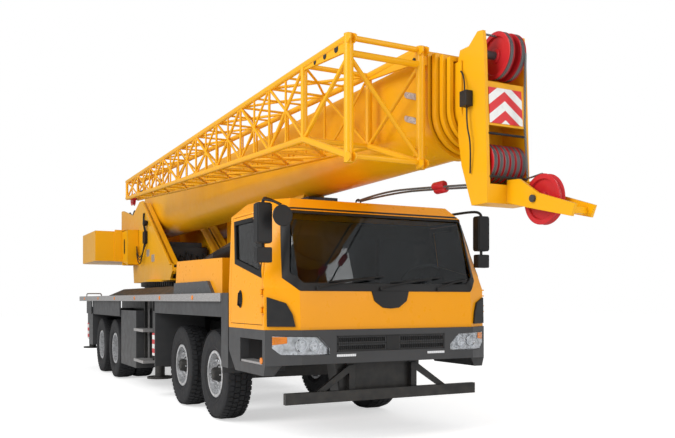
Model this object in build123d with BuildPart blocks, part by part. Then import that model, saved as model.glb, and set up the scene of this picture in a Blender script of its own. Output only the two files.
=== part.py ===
from build123d import *
import os

# Four-axle mobile crane, in millimetres. +X is forward, +Y the vehicle's left, +Z up. The
# origin is on the ground below the middle of the whole machine.

# ---------------------------------------------------------------- running gear
AXLE_X = (2200, 750, -3600, -4950)  # axles 1 to 4; 1 and 2 steer, 3 and 4 carry twins
TYRE_R = 561
TYRE_W = 313
BEAD_R = 270
FLANGE_R = 292
RIM_HALF_W = 138
FRONT_WHEEL_Y = 1043
TWIN_OUTER_Y = 1093
TWIN_INNER_Y = 745
KINGPIN_Y = 800
KINGPIN_R = 27
SPINDLE_R = 45
RUNNING_FIT = 0.5  # play round pins and spindles, and under sliding pads
HUB_Z = TYRE_R

# --------------------------------------------------------------------- chassis
RAIL_Z = (800, 1160)
RAIL_Y = (340, 430)
FRAME_Z = (800, 1460)
FRAME_X = (-6850, -280)
DECK_X = (-6890, 2970)
DECK_Z = (1460, 1500)
DECK_HALF = 1375
EDGE_Z = 1560
LOCKER_Y = DECK_HALF - 75  # outer faces of the side lockers and steps
SKIRT_Y = (DECK_HALF - 65, DECK_HALF - 35)  # a front guard's outer skirt
BOX_Z = (900, 1300)
BOX_HALF_Y = 1095
BEAM_W = 200
BEAM_Z = (950, 1250)
BEAM_LEN = 2190
JACK_Y = 1190
BEAM_FIT = 6  # play round an outrigger beam in its box
JACK_R = 75
JACK_FOOT_R = 195
# X of the box's middle, and the height of the foot's underside
OUTRIGGERS = {"mid": (-540, 270), "rear": (-6380, 420)}

# ------------------------------------------------------------------ slew and boom
SLEW_X = -3400
RING_Z = (1730, 1825)
RING_R = 745
TURRET_Z = RING_Z[1] + RUNNING_FIT
CHEEK_Y = (480, 520)
PIVOT = (-4600, 3300)  # boom foot pin, X and Z
BOOM_BOTTOM = 2780
BOOM_TOP = 3660
BOOM_HALF_W = 360
WALL = 12
STEP = 30  # each section is this much smaller all round than the one outside it
CYL_FOOT = (-2200, 2010)
CYL_EYE = (2300, 2620)
CYL_R = 165
ROD_R = 85
REST_Z = 2754

SIDES = {"right": -1, "left": 1}

os.makedirs("parts", exist_ok=True)


def write(part, label):
    """Labels a finished piece and writes its file."""
    part.label = label
    export_step(part, f"parts/{label}.step")


def block(x, y, z, mode=Mode.ADD):
    """A box between three pairs of limits."""
    size = [abs(b - a) for a, b in (x, y, z)]
    middle = tuple((a + b) / 2 for a, b in (x, y, z))
    with Locations(middle):
        Box(*size, mode=mode)


def bar(start, end, radius, mode=Mode.ADD):
    """A round bar from one point to another."""
    run = Vector(*end) - Vector(*start)
    with Locations(Plane(origin=start, z_dir=run).location):
        Cylinder(radius, run.length, align=(Align.CENTER, Align.CENTER, Align.MIN), mode=mode)


def side_plate(points, y, mode=Mode.ADD, grow=0):
    """A plate with an outline of (X, Z) points moved out by grow, between two values of Y."""
    low, high = min(y), max(y)
    with BuildSketch(Plane.XZ.offset(-low)) as outline:
        with BuildLine():
            Polyline(*points, close=True)
        make_face()
        if grow:
            offset(amount=grow, kind=Kind.INTERSECTION)
    extrude(outline.sketch, amount=-(high - low), mode=mode)


def front_plate(points, x, mode=Mode.ADD):
    """A plate with an outline of (Y, Z) points, between two values of X."""
    low, high = min(x), max(x)
    with BuildSketch(Plane.YZ.offset(low)) as outline:
        with BuildLine():
            Polyline(*points, close=True)
        make_face()
    extrude(outline.sketch, amount=high - low, mode=mode)


def turned(points, middle, mode=Mode.ADD):
    """A ring turned about the Y axis through middle, from an outline of (radius, Y) points."""
    with BuildSketch(Plane(origin=middle, x_dir=(1, 0, 0), z_dir=(0, 0, 1))) as outline:
        with BuildLine():
            Polyline(*points, close=True)
        make_face()
    revolve(outline.sketch, axis=Axis(middle, (0, 1, 0)), mode=mode)


def both_sides(x, y, z, mode=Mode.ADD):
    """A box and its mirror image across the vehicle's middle plane."""
    block(x, y, z, mode)
    block(x, (-y[0], -y[1]), z, mode)


# ------------------------------------------------------------------------ wheels
# Tyre outline as (radius, distance from the tyre's middle): bead, side wall, shoulder, tread.
HALF_W = TYRE_W / 2
TYRE_OUTLINE = [
    (BEAD_R, -RIM_HALF_W + 12),
    (FLANGE_R + 6, -RIM_HALF_W + 12),
    (335, -HALF_W),
    (500, -HALF_W),
    (TYRE_R, -HALF_W + 32),
    (TYRE_R, HALF_W - 32),
    (500, HALF_W),
    (335, HALF_W),
    (FLANGE_R + 6, RIM_HALF_W - 12),
    (BEAD_R, RIM_HALF_W - 12),
]


def tyre(x, y):
    turned(TYRE_OUTLINE, (x, y, HUB_Z))


def rim(x, y, side, dish):
    """A wheel rim whose disc stands dish outboard of its middle, outboard being side * Y."""
    w = RIM_HALF_W
    lip = 12
    barrel = [
        (BEAD_R - 14, -w),
        (FLANGE_R, -w),
        (FLANGE_R, -w + lip),
        (BEAD_R, -w + lip),
        (BEAD_R, w - lip),
        (FLANGE_R, w - lip),
        (FLANGE_R, w),
        (BEAD_R - 14, w),
    ]
    turned(barrel, (x, y, HUB_Z))
    inner = side * (dish - 70) if dish > 0 else side * (dish + 70)
    disc = [
        (BEAD_R - 12, inner),
        (BEAD_R - 12, inner + 16),
        (140, side * dish + 16),
        (80, side * dish + 16),
        (80, side * dish),
        (140, side * dish),
    ]
    turned(disc, (x, y, HUB_Z))


for number in (1, 2):
    x = AXLE_X[number - 1]
    for side_name, side in SIDES.items():
        y = side * FRONT_WHEEL_Y
        with BuildPart() as front_tyre:
            tyre(x, y)
        write(front_tyre.part, f"tyre_{number}_{side_name}")

        # The disc bulges outboard; the hub carries the drum and turns on the spindle.
        with BuildPart() as front_rim:
            rim(x, y, side, 80)
            hub = [
                (SPINDLE_R + RUNNING_FIT, side * -40),
                (100, side * -40),
                (100, side * 150),
                (60, side * 165),
                (0, side * 165),
                (0, side * 140),
                (SPINDLE_R + RUNNING_FIT, side * 140),
            ]
            turned(hub, (x, y, HUB_Z))
            drum = [(98, side * -40), (98, side * 20), (205, side * 20), (205, side * -120)]
            drum += [(190, side * -120), (190, side * -40)]
            turned(drum, (x, y, HUB_Z))
        write(front_rim.part, f"rim_{number}_{side_name}")

        # The knuckle: kingpin through the beam's boss, a fork round the boss, the spindle.
        with BuildPart() as knuckle:
            pin_y = side * KINGPIN_Y
            bar((x, pin_y, 430), (x, pin_y, 692), KINGPIN_R)
            for z in ((430, 475), (647, 692)):
                bar((x, pin_y, z[0]), (x, pin_y, z[1]), 58)
                block((x - 50, x + 50), (pin_y, side * 900), z)
            block((x - 60, x + 60), (side * 872, side * 905), (430, 692))
            bar((x, side * 890, HUB_Z), (x, side * 1175, HUB_Z), SPINDLE_R)
        write(knuckle.part, f"knuckle_{number}_{side_name}")

for number in (3, 4):
    x = AXLE_X[number - 1]
    for side_name, side in SIDES.items():
        with BuildPart() as twin_tyres:
            tyre(x, side * TWIN_OUTER_Y)
            tyre(x, side * TWIN_INNER_Y)
        write(twin_tyres.part, f"tyres_{number}_{side_name}")

        # Both discs bolt to one flange between the twins, so the outer rim is deeply dished.
        with BuildPart() as twin_rims:
            middle = (TWIN_OUTER_Y + TWIN_INNER_Y) / 2
            rim(x, side * TWIN_OUTER_Y, side, middle - TWIN_OUTER_Y + 60)
            rim(x, side * TWIN_INNER_Y, side, TWIN_OUTER_Y - middle - 60)
            hub = [
                (SPINDLE_R + RUNNING_FIT, side * -130),
                (95, side * -130),
                (95, side * 190),
                (75, side * 215),
                (0, side * 215),
                (0, side * 170),
                (SPINDLE_R + RUNNING_FIT, side * 170),
            ]
            turned(hub, (x, side * middle, HUB_Z))
            flange = [(90, side * -62), (90, side * 62), (150, side * 62), (150, side * -62)]
            turned(flange, (x, side * middle, HUB_Z))
        write(twin_rims.part, f"rims_{number}_{side_name}")

# ------------------------------------------------------------------------- axles
with BuildPart() as axles:
    for x in AXLE_X[:2]:
        block((x - 55, x + 55), (-KINGPIN_Y + 40, KINGPIN_Y - 40), (490, 632))
        for side in SIDES.values():
            pin_y = side * KINGPIN_Y
            bar((x, pin_y, 478), (x, pin_y, 644), 58)
            hole_r = KINGPIN_R + RUNNING_FIT
            bar((x, pin_y, 478), (x, pin_y, 644), hole_r, Mode.SUBTRACT)
    for x in AXLE_X[2:]:
        bar((x, -560, HUB_Z), (x, 560, HUB_Z), 75)
        bar((x, -130, HUB_Z), (x, 130, HUB_Z), 195)
        for side in SIDES.values():
            bar((x, side * 555, HUB_Z), (x, side * 1075, HUB_Z), SPINDLE_R)
    # Leaf packs: front ones below the rails, rear ones between the two driven axles.
    for x in AXLE_X[:2]:
        for side in SIDES.values():
            y = (side * 345, side * 425)
            leaves = [(-620, 700), (-100, 632), (100, 632), (620, 700), (620, 730), (-620, 730)]
            side_plate([(x + dx, z) for dx, z in leaves], y)
            for dx in (-590, 560):
                block((x + dx, x + dx + 30), y, (720, 800))
    for side in SIDES.values():
        y = (side * 440, side * 540)
        xs = (AXLE_X[3], AXLE_X[2])
        middle = sum(xs) / 2
        block((xs[0] - 60, xs[1] + 60), y, (620, 700))
        block((middle - 120, middle + 120), y, (700, 800))
        block((middle - 120, middle + 120), (side * 430, side * 540), (800, 940))
write(axles.part, "axles")

# ----------------------------------------------------------------------- chassis
with BuildPart() as chassis:
    block(FRAME_X, (-RAIL_Y[1], RAIL_Y[1]), FRAME_Z)
    both_sides((-280, 4280), RAIL_Y, RAIL_Z)
    for x, z in ((850, (800, 880)), (2150, (800, 880)), (3100, RAIL_Z), (4180, RAIL_Z)):
        block((x, x + 80), (-RAIL_Y[0], RAIL_Y[0]), z)
    for x in (400, 2560):  # deck bearers on posts
        block((x, x + 60), (-1310, 1310), (1320, 1460))
        both_sides((x, x + 60), RAIL_Y, (1160, 1320))
    for x in (3350, 4100):  # cab mounts
        both_sides((x, x + 90), RAIL_Y, (1160, 1180))
    for middle, _ in OUTRIGGERS.values():
        block((middle - 260, middle + 260), (-BOX_HALF_Y, BOX_HALF_Y), BOX_Z)
        for shift in (-120, 120):  # the two beams lie side by side
            x = middle + shift
            half = BEAM_W / 2 + BEAM_FIT
            tunnel_z = (BEAM_Z[0] - RUNNING_FIT, BEAM_Z[1] + BEAM_FIT)
            block((x - half, x + half), (-BOX_HALF_Y, BOX_HALF_Y), tunnel_z, Mode.SUBTRACT)
    # Pedestal and the slewing ring's fixed race.
    bar((SLEW_X, 0, 1460), (SLEW_X, 0, RING_Z[0]), 700)
    bar((SLEW_X, 0, RING_Z[0]), (SLEW_X, 0, RING_Z[1]), RING_R)
    bar((SLEW_X, 0, RING_Z[0] + 30), (SLEW_X, 0, RING_Z[1]), 600, Mode.SUBTRACT)
    # Boom rest behind the cab: two posts, two ties and the pad.
    both_sides((2650, 2850), (330, 410), (1160, 2660))
    block((2650, 2850), (-330, 330), (2560, 2660))
    block((2650, 2850), (-330, 330), (1900, 2000))
    block((2640, 2860), (-200, 200), (2660, REST_Z))
    # Underrun bar on its drops and braces.
    block((4310, 4370), (-1170, 1170), (430, 545))
    both_sides((4220, 4310), (350, 420), (430, 800))
    for side in SIDES.values():
        brace = [(side * 420, 800), (side * 420, 720), (side * 760, 500), (side * 860, 500)]
        front_plate(brace, (4270, 4310))
write(chassis.part, "chassis")

with BuildPart() as deck:
    block(DECK_X, (-DECK_HALF + 30, DECK_HALF - 30), DECK_Z)
    bar((SLEW_X, 0, 1450), (SLEW_X, 0, 1510), 705, Mode.SUBTRACT)
    block((620, 2930), (-480, 480), DECK_Z, Mode.SUBTRACT)
    both_sides(DECK_X, (DECK_HALF - 30, DECK_HALF), (DECK_Z[0], EDGE_Z))
    block((DECK_X[0], DECK_X[0] + 30), (-DECK_HALF + 30, DECK_HALF - 30), (DECK_Z[1], EDGE_Z))
write(deck.part, "deck")

with BuildPart() as lockers:
    both_sides((-2730, -1550), (RAIL_Y[1], LOCKER_Y), (560, 1300))
    both_sides((-2730, -1550), (700, LOCKER_Y), (340, 560))
    both_sides((-6080, -5620), (RAIL_Y[1], LOCKER_Y), (520, 1300))
write(lockers.part, "side_lockers")

with BuildPart() as steps:
    tread_y = (LOCKER_Y - 220, LOCKER_Y)
    for z in (500, 1000):
        both_sides((-1500, -860), tread_y, (z - 30, z + 10))
    for x in (-1480, -900):
        both_sides((x, x + 30), (tread_y[0] + 20, tread_y[0] + 50), (480, DECK_Z[0]))
    both_sides((3595, 4215), (1210, 1350), (826, 846))
write(steps.part, "steps")

# Each front guard: outer skirt, liner over the tyres, a wall behind and one ahead.
with BuildPart() as mudguards:
    both_sides((-160, DECK_X[1]), SKIRT_Y, (1285, DECK_Z[0]))
    both_sides((-130, 2940), (560, SKIRT_Y[0]), (1285, 1305))
    both_sides((-160, -130), (560, SKIRT_Y[1]), (480, DECK_Z[0]))
    both_sides((2940, DECK_X[1]), (560, SKIRT_Y[1]), (640, DECK_Z[0]))
    both_sides((DECK_X[1], 3200), (DECK_HALF - 75, DECK_HALF - 15), (720, EDGE_Z))
    # Rear guards over axles 3 and 4.
    guard_y = DECK_HALF - 60
    both_sides((-5560, -2800), (guard_y - 25, guard_y), (1190, DECK_Z[0]))
    both_sides((-5560, -2800), (560, guard_y - 25), (1180, 1200))
write(mudguards.part, "mudguards")

# ------------------------------------------------------------------ engine and hood
with BuildPart() as engine:
    block((750, 2350), (-325, 325), (880, 1780))
write(engine.part, "engine")

HOOD = [(470, 1500), (2540, 1500), (2540, 1990), (560, 2030)]
HOOD_HALF = 1200
with BuildPart() as hood:
    side_plate(HOOD, (-HOOD_HALF, HOOD_HALF))
    inside = [(490, 1490), (2525, 1490), (2525, 1970), (575, 2010)]
    side_plate(inside, (-HOOD_HALF + 15, HOOD_HALF - 15), Mode.SUBTRACT)
    skirt = [(510, 1500), (2350, 1500), (2070, 1720), (560, 1720)]
    for side in SIDES.values():
        side_plate(skirt, (side * HOOD_HALF, side * (HOOD_HALF + 40)))
write(hood.part, "engine_hood")

# --------------------------------------------------------------------- driver's cab
# Cross-sections of the cab's body from the sill up: height, rear face, half width, where the
# corner facet leaves the side (X) and reaches the front (Y), and the front face.
CAB_SECTIONS = [
    # z, rear, half width, facet x, facet y, front
    (1180, 3230, 1360, 4270, 1050, 4460),
    (1600, 3230, 1360, 4260, 1050, 4440),
    (2400, 3230, 1330, 3870, 1070, 4210),
    (2540, 3330, 1180, 3800, 980, 4060),
]


def cab_hull(inset):
    """The cab's outer body, shrunk all round by inset."""
    with BuildPart() as hull:
        last = len(CAB_SECTIONS) - 1
        for index, (z, rear, half, facet_x, facet_y, front) in enumerate(CAB_SECTIONS):
            z += inset if index == 0 else -inset if index == last else 0
            rear, half, front = rear + inset, half - inset, front - inset
            facet_x, facet_y = facet_x - inset * 0.4, facet_y - inset * 0.4
            with BuildSketch(Plane.XY.offset(z)):
                with BuildLine():
                    Polyline(
                        (rear, -half),
                        (facet_x, -half),
                        (front, -facet_y),
                        (front, facet_y),
                        (facet_x, half),
                        (rear, half),
                        close=True,
                    )
                make_face()
        loft(ruled=True)
    return hull.part


CAB_WALL = 45
GLASS = 8
DOOR_GAP = 6
DOOR = [(3300, 1232), (4215, 1232), (4215, 1690), (3985, 2375), (3300, 2375)]
HINGE = (4224, 1374)
HINGE_Z = (1380, 1560)
DOOR_WINDOW = [(3355, 2320), (3425, 1900), (4170, 1735), (3965, 2320)]
SCREEN = [(-1030, 1600), (-1150, 1720), (-1090, 2400), (1090, 2400), (1150, 1720), (1030, 1600)]
hull_outer = cab_hull(0)
hull_inner = cab_hull(CAB_WALL)
glass_outer = cab_hull(14)
glass_inner = cab_hull(14 + GLASS)


with BuildPart() as cab_shell:
    add(hull_outer)
    add(hull_inner, mode=Mode.SUBTRACT)
    for side in SIDES.values():
        side_plate(DOOR, (side * 1150, side * 1400), Mode.SUBTRACT, DOOR_GAP)
    front_plate(SCREEN, (4100, 4500), Mode.SUBTRACT)
    for side in SIDES.values():
        for z in HINGE_Z:
            pin = (HINGE[0], side * HINGE[1])
            bar((*pin, z - 40), (*pin, z + 40), 6)
            for low in (z - 40, z + 27):
                block((4216, 4262), (side * 1360, side * 1382), (low, low + 13))
write(cab_shell.part, "cab_shell")

with BuildPart() as windscreen:
    add(glass_outer)
    add(glass_inner, mode=Mode.SUBTRACT)
    front_plate(SCREEN, (4100, 4500), Mode.INTERSECT)
write(windscreen.part, "windscreen")

for side_name, side in SIDES.items():
    reach = (side * 1150, side * 1400)
    with BuildPart() as pane:
        add(glass_outer)
        add(glass_inner, mode=Mode.SUBTRACT)
        side_plate(DOOR_WINDOW, reach, Mode.INTERSECT)
    with BuildPart() as door:
        add(hull_outer)
        add(hull_inner, mode=Mode.SUBTRACT)
        side_plate(DOOR, reach, Mode.INTERSECT)
        side_plate(DOOR_WINDOW, reach, Mode.SUBTRACT)
        add(pane.part)
        for z in HINGE_Z:
            pin = (HINGE[0], side * HINGE[1])
            block((4170, 4205), (side * 1360, side * 1376), (z - 25, z + 25))
            block((4170, 4224), (side * 1366, side * 1380), (z - 25, z + 25))
            bar((*pin, z - 25), (*pin, z + 25), 12)
            bar((*pin, z - 25), (*pin, z + 25), 6 + RUNNING_FIT, Mode.SUBTRACT)
    write(door.part, f"cab_door_{side_name}")

with BuildPart() as cab_interior:
    floor = 1180 + CAB_WALL
    for y in (-620, 620):  # seats
        block((3480, 3600), (y - 250, y + 250), (floor, 1700))
        block((3600, 3960), (y - 250, y + 250), (floor, 1640))
        block((3480, 3580), (y - 240, y + 240), (1700, 2200))
    block((4130, 4330), (-1100, 1100), (floor, 1560))
    bar((4210, 620, 1555), (4090, 620, 1740), 22)
    with Locations(Plane(origin=(4080, 620, 1755), z_dir=(-0.545, 0, 0.839)).location):
        Torus(210, 16)
        Box(420, 30, 20)
    block((3275, 3400), (-1100, 1100), (floor, 1640))
write(cab_interior.part, "cab_interior")

# ------------------------------------------------------------- bumper and front end
BUMPER = [(3230, 1360), (4290, 1360), (4490, 1050), (4490, -1050), (4290, -1360), (3230, -1360)]
BUMPER_CORE = [(3200, 1260), (4250, 1260), (4370, 1000), (4370, -1000), (4250, -1260), (3200, -1260)]
LAMP = [(740, 930), (740, 1000), (860, 1115), (1300, 1125), (1300, 1000), (1220, 930)]
RECESS = [(3590, 826), (4220, 826), (4220, 1080), (3590, 1080)]


def bumper_slab(outline, z):
    with BuildSketch(Plane.XY.offset(z[0])) as slab:
        with BuildLine():
            Polyline(*outline, close=True)
        make_face()
    return extrude(slab.sketch, amount=z[1] - z[0], mode=Mode.PRIVATE)


def mirrored(points):
    return [(-y, z) for y, z in points]


with BuildPart() as bumper:
    add(bumper_slab(BUMPER, (720, 1180)))
    add(bumper_slab(BUMPER_CORE, (700, 1200)), mode=Mode.SUBTRACT)
    for y in ((-1400, -1200), (1200, 1400)):
        # the sides' lower edges rise to the rear and to the front
        side_plate([(3200, 700), (3460, 700), (3200, 960)], y, Mode.SUBTRACT)
        side_plate(RECESS, y, Mode.SUBTRACT)
    side_plate([(4250, 700), (4520, 700), (4520, 840), (4290, 820)], (-1400, 1400), Mode.SUBTRACT)
    both_sides((4280, 4371), RAIL_Y, (850, 1150))
    for points in (LAMP, mirrored(LAMP)):
        front_plate(points, (4250, 4520), Mode.SUBTRACT)
    for y in ((90, 640), (-640, -90)):  # grille slots, two rows a side
        for z in ((975, 1015), (1055, 1095)):
            block((4455, 4500), y, z, Mode.SUBTRACT)
write(bumper.part, "front_bumper")

with BuildPart() as headlamps:
    add(bumper_slab(BUMPER, (900, 1150)))
    add(bumper_slab(BUMPER_CORE, (890, 1160)), mode=Mode.SUBTRACT)
    with BuildSketch(Plane.YZ.offset(4250)) as lamp_outline:
        for points in (LAMP, mirrored(LAMP)):
            with BuildLine():
                Polyline(*points, close=True)
            make_face()
    extrude(lamp_outline.sketch, amount=300, mode=Mode.INTERSECT)
write(headlamps.part, "headlamps")

with BuildPart() as mirrors:
    for side in SIDES.values():
        block((4380, 4480), (side * 1400, side * 1580), (2030, 2410))
        block((4385, 4475), (side * 1400, side * 1570), (1850, 2000))
        bar((4430, side * 1490, 1990), (4430, side * 1490, 2470), 14)
        bar((4430, side * 1490, 2458), (4010, side * 1050, 2458), 14)
    bar((4430, -1490, 2458), (4500, -1270, 2400), 10)
    bar((4495, -1270, 2300), (4535, -1270, 2300), 105)
    bar((4500, -1270, 2350), (4500, -1270, 2405), 10)
    add(hull_outer, mode=Mode.SUBTRACT)
write(mirrors.part, "mirrors")

# --------------------------------------------------------------------- outriggers
for place, (middle, foot_z) in OUTRIGGERS.items():
    for side_name, side in SIDES.items():
        x = middle - side * 120
        # The beam ends in a sleeve that carries the jack just outside the box.
        with BuildPart() as beam:
            end_y = side * (BOX_HALF_Y + BEAM_FIT)
            block((x - 100, x + 100), (end_y - side * BEAM_LEN, end_y), BEAM_Z)
            block((x - 100, x + 100), (end_y, side * (JACK_Y + 90)), (BEAM_Z[0] - 250, BEAM_Z[1] + 60))
            hole_y = side * JACK_Y
            bar((x, hole_y, 600), (x, hole_y, 1400), JACK_R + RUNNING_FIT, Mode.SUBTRACT)
        write(beam.part, f"outrigger_beam_{place}_{side_name}")
        with BuildPart() as jack:
            y = side * JACK_Y
            bar((x, y, foot_z + 30), (x, y, 1330), JACK_R)
            bar((x, y, foot_z), (x, y, foot_z + 30), JACK_FOOT_R)
        write(jack.part, f"outrigger_jack_{place}_{side_name}")

# ---------------------------------------------------------------- superstructure
CHEEK = [
    (-5290, 2300),
    (-5200, 1871),
    (-2300, 1871),
    (-2160, 2000),
    (-2200, 2130),
    (-4300, 3470),
    (-4440, 3520),
    (-4700, 3520),
    (-5290, 3300),
]
with BuildPart() as turret:
    bar((SLEW_X, 0, TURRET_Z), (SLEW_X, 0, 1871), 700)
    block((-5200, -2300), (-520, 520), (1842, 1871))
    for side in SIDES.values():
        side_plate(CHEEK, (side * CHEEK_Y[0], side * CHEEK_Y[1]))
    block((-5330, -5290), (-900, 900), (2300, 2980))
    block((-5290, -5250), (-480, 480), (2300, 3100))
    winch_frame = [(-5330, 2980), (-5330, 3300), (-6300, 3500), (-6450, 3500), (-6450, 2980)]
    for side in SIDES.values():
        side_plate(winch_frame, (side * CHEEK_Y[0], side * CHEEK_Y[1]))
        block((-5330, -5280), (side * CHEEK_Y[0], side * CHEEK_Y[1]), (2980, 3300))
    bar((CYL_FOOT[0], -480, CYL_FOOT[1]), (CYL_FOOT[0], 480, CYL_FOOT[1]), 60)
    bar((PIVOT[0], -480, PIVOT[1]), (PIVOT[0], 480, PIVOT[1]), 70)
write(turret.part, "turret_frame")

with BuildPart() as counterweight:
    block((-7100, -5330), (-1300, 1300), (2310, 2950))
    fillet(counterweight.edges().filter_by(Axis.Z).group_by(Axis.X)[0], 220)
    both_sides((-7080, -6880), (700, 1060), (2950, 3070))
write(counterweight.part, "counterweight")

WINCHES = {"main_winch": -5700, "aux_winch": -6180}
for name, x in WINCHES.items():
    with BuildPart() as drum:
        bar((x, -400, 3240), (x, 400, 3240), 170)
        for y in (-400, 380):
            bar((x, y, 3240), (x, y + 20, 3240), 225)
        bar((x, RUNNING_FIT - CHEEK_Y[0], 3240), (x, CHEEK_Y[0] - RUNNING_FIT, 3240), 40)
    write(drum.part, name)

# Operator's cab on the left of the turret, with a sliding door in its outer side.
OP_CAB = [(-3600, 1900), (-1950, 1900), (-1850, 2300), (-2150, 3400), (-3600, 3400)]
OP_Y = (560, 1360)
OP_WALL = 40
OP_INSIDE = [(-3560, 1940), (-1985, 1940), (-1893, 2300), (-2180, 3360), (-3560, 3360)]
OP_DOOR = [(-3380, 1960), (-2300, 1960), (-2300, 3330), (-3380, 3330)]
OP_DOOR_WINDOW = [(-3320, 2250), (-2360, 2250), (-2360, 3270), (-3320, 3270)]
OP_SIDE_WINDOW = [(-3480, 2450), (-2300, 2450), (-2300, 3280), (-3480, 3280)]
with BuildPart() as operator_cab:
    side_plate(OP_CAB, OP_Y)
    side_plate(OP_INSIDE, (OP_Y[0] + OP_WALL, OP_Y[1] - OP_WALL), Mode.SUBTRACT)
    side_plate(OP_DOOR, (OP_Y[1] - OP_WALL - 1, OP_Y[1] + 1), Mode.SUBTRACT)
    side_plate(OP_SIDE_WINDOW, (OP_Y[0] - 1, OP_Y[0] + OP_WALL + 1), Mode.SUBTRACT)
    block((-2400, -1800), (OP_Y[0] + 60, OP_Y[1] - 60), (2360, 3300), Mode.SUBTRACT)
    block((-3500, -2100), (520, OP_Y[0]), (1910, 2100))
    for z in (1940, 3320):  # the door's rails run back past the cab
        block((-4200, -2290), (OP_Y[1], OP_Y[1] + BEAM_FIT - RUNNING_FIT), (z, z + 30))
    # Panes in the front and in the inner side, and the seat.
    pane = [(-1888, 2362), (-1898, 2362), (-2152, 3298), (-2142, 3298)]
    side_plate(pane, (OP_Y[0] + 60, OP_Y[1] - 60))
    side_plate(OP_SIDE_WINDOW, (OP_Y[0] + 15, OP_Y[0] + 23))
    block((-3200, -2750), (750, 1170), (1940, 2360))
    block((-3300, -3200), (760, 1160), (2200, 2950))
write(operator_cab.part, "operator_cab")

with BuildPart() as operator_door:
    side_plate(OP_DOOR, (OP_Y[1] + BEAM_FIT, OP_Y[1] + 36), grow=30)
    side_plate(OP_DOOR_WINDOW, (OP_Y[1], OP_Y[1] + 40), Mode.SUBTRACT)
    side_plate(OP_DOOR_WINDOW, (OP_Y[1] + 17, OP_Y[1] + 25))
write(operator_door.part, "operator_door")

# ------------------------------------------------------------------ lift cylinder
# Drawn along its own line from the foot pin to the rod's eye.
foot = Vector(CYL_FOOT[0], 0, CYL_FOOT[1])
eye = Vector(CYL_EYE[0], 0, CYL_EYE[1])
line = (eye - foot).normalized()


def along(distance):
    return tuple(foot + line * distance)


CLOSED = (eye - foot).length
with BuildPart() as barrel:
    bar(along(100), along(CLOSED - 420), CYL_R)
    bar((foot.X, -120, foot.Z), (foot.X, 120, foot.Z), 150)
    bar(along(300), along(CLOSED - 419), ROD_R + RUNNING_FIT, Mode.SUBTRACT)
    bar((foot.X, -121, foot.Z), (foot.X, 121, foot.Z), 60 + RUNNING_FIT, Mode.SUBTRACT)
write(barrel.part, "lift_cylinder")

with BuildPart() as rod:
    bar(along(320), along(CLOSED - 60), ROD_R)
    bar((eye.X, -90, eye.Z), (eye.X, 90, eye.Z), 130)
    bar((eye.X, -91, eye.Z), (eye.X, 91, eye.Z), 60, Mode.SUBTRACT)
write(rod.part, "lift_rod")

# ---------------------------------------------------------------------------- boom


def boom_outline(x, half, bottom, top):
    """A boom section's outline: flat on top, straight sides, half round below."""
    with BuildSketch(Plane.YZ.offset(x)) as outline:
        with BuildLine():
            Polyline((-half, bottom + half), (-half, top), (half, top), (half, bottom + half))
            ThreePointArc((half, bottom + half), (0, bottom), (-half, bottom + half))
        make_face()
    return outline.sketch


# Sections from the base outwards: rear end, front end, collar's length, collar's height.
BOOM_SECTIONS = [
    # rear, front, collar length, collar height
    (-4900, 5700, 100, 24),
    (-4200, 5780, 60, 24),
    (-4100, 5845, 50, 24),
    (-4000, 5910, 50, 24),
    (-3900, 6000, 0, 0),
]
for index, (rear, front, collar, height) in enumerate(BOOM_SECTIONS):
    half = BOOM_HALF_W - STEP * index
    low = BOOM_BOTTOM + STEP * index
    top = BOOM_TOP - STEP * index
    with BuildPart() as section:
        extrude(boom_outline(rear, half, low, top), amount=front - rear)
        if collar:
            ring = boom_outline(front - collar, half + height, low - height, top + height)
            extrude(ring, amount=collar)
        inner = boom_outline(rear - 1, half - WALL, low + WALL, top - WALL)
        extrude(inner, amount=front - rear + 2, mode=Mode.SUBTRACT)
        if index < len(BOOM_SECTIONS) - 1:
            # Wear pads at the front end, on which the next section slides.
            reach = STEP - WALL - RUNNING_FIT
            pad_x = (front - 220, front - 20)
            both_sides(pad_x, (80, 180), (top - WALL - reach, top - WALL + 2))
            both_sides(pad_x, (half - WALL - reach, half - WALL + 2), (top - 320, top - 200))
        if index == 0:
            # Foot lugs round the boom pin.
            for side in SIDES.values():
                y = side * (half - WALL)
                bar((PIVOT[0], y, PIVOT[1]), (PIVOT[0], side * 470, PIVOT[1]), 170)
            pin = PIVOT[1]
            bar((PIVOT[0], -480, pin), (PIVOT[0], 480, pin), 70 + RUNNING_FIT, Mode.SUBTRACT)
        if index == len(BOOM_SECTIONS) - 1:
            # The head: two side plates, a front plate, a window, a floor and the nose arm.
            head = [
                (5930, 3560),
                (5960, 3640),
                (6080, 3640),
                (6200, 3730),
                (6270, 3720),
                (6290, 3570),
                (6330, 2480),
                (6330, 2280),
                (6120, 2280),
                (5980, 2640),
                (5930, 2900),
            ]
            for side in SIDES.values():
                side_plate(head, (side * 195, side * 225))
            side_plate([(6260, 3300), (6285, 3300), (6310, 2930), (6285, 2930)], (-195, 195))
            block((5985, 6015), (-195, 195), (2640, 3560))
            side_plate([(6120, 2280), (6330, 2280), (6330, 2440), (6120, 2440)], (-195, 195))
            arm = [(6330, 2290), (6330, 2480), (6480, 2470), (6700, 2330), (7100, 2200), (7060, 2110)]
            arm += [(6560, 2230)]
            for y in ((-20, 5), (180, 205)):
                side_plate(arm, y)
            block((6980, 7030), (5, 180), (2140, 2190))
    write(section.part, f"boom_section_{index + 1}")

# The rod's eye turns between two cheeks that are welded under the base section.
with BuildPart() as bracket:
    for side in SIDES.values():
        cheek = [(2050, 2850), (2150, 2480), (2450, 2480), (2620, 2850)]
        side_plate(cheek, (side * 105, side * 145))
    base = boom_outline(2000, BOOM_HALF_W, BOOM_BOTTOM, BOOM_TOP)
    extrude(base, amount=700, mode=Mode.SUBTRACT)
write(bracket.part, "luffing_bracket")

# Rope sheaves: a grooved rim on a web, as (radius, Y) points either side of the groove.


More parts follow.
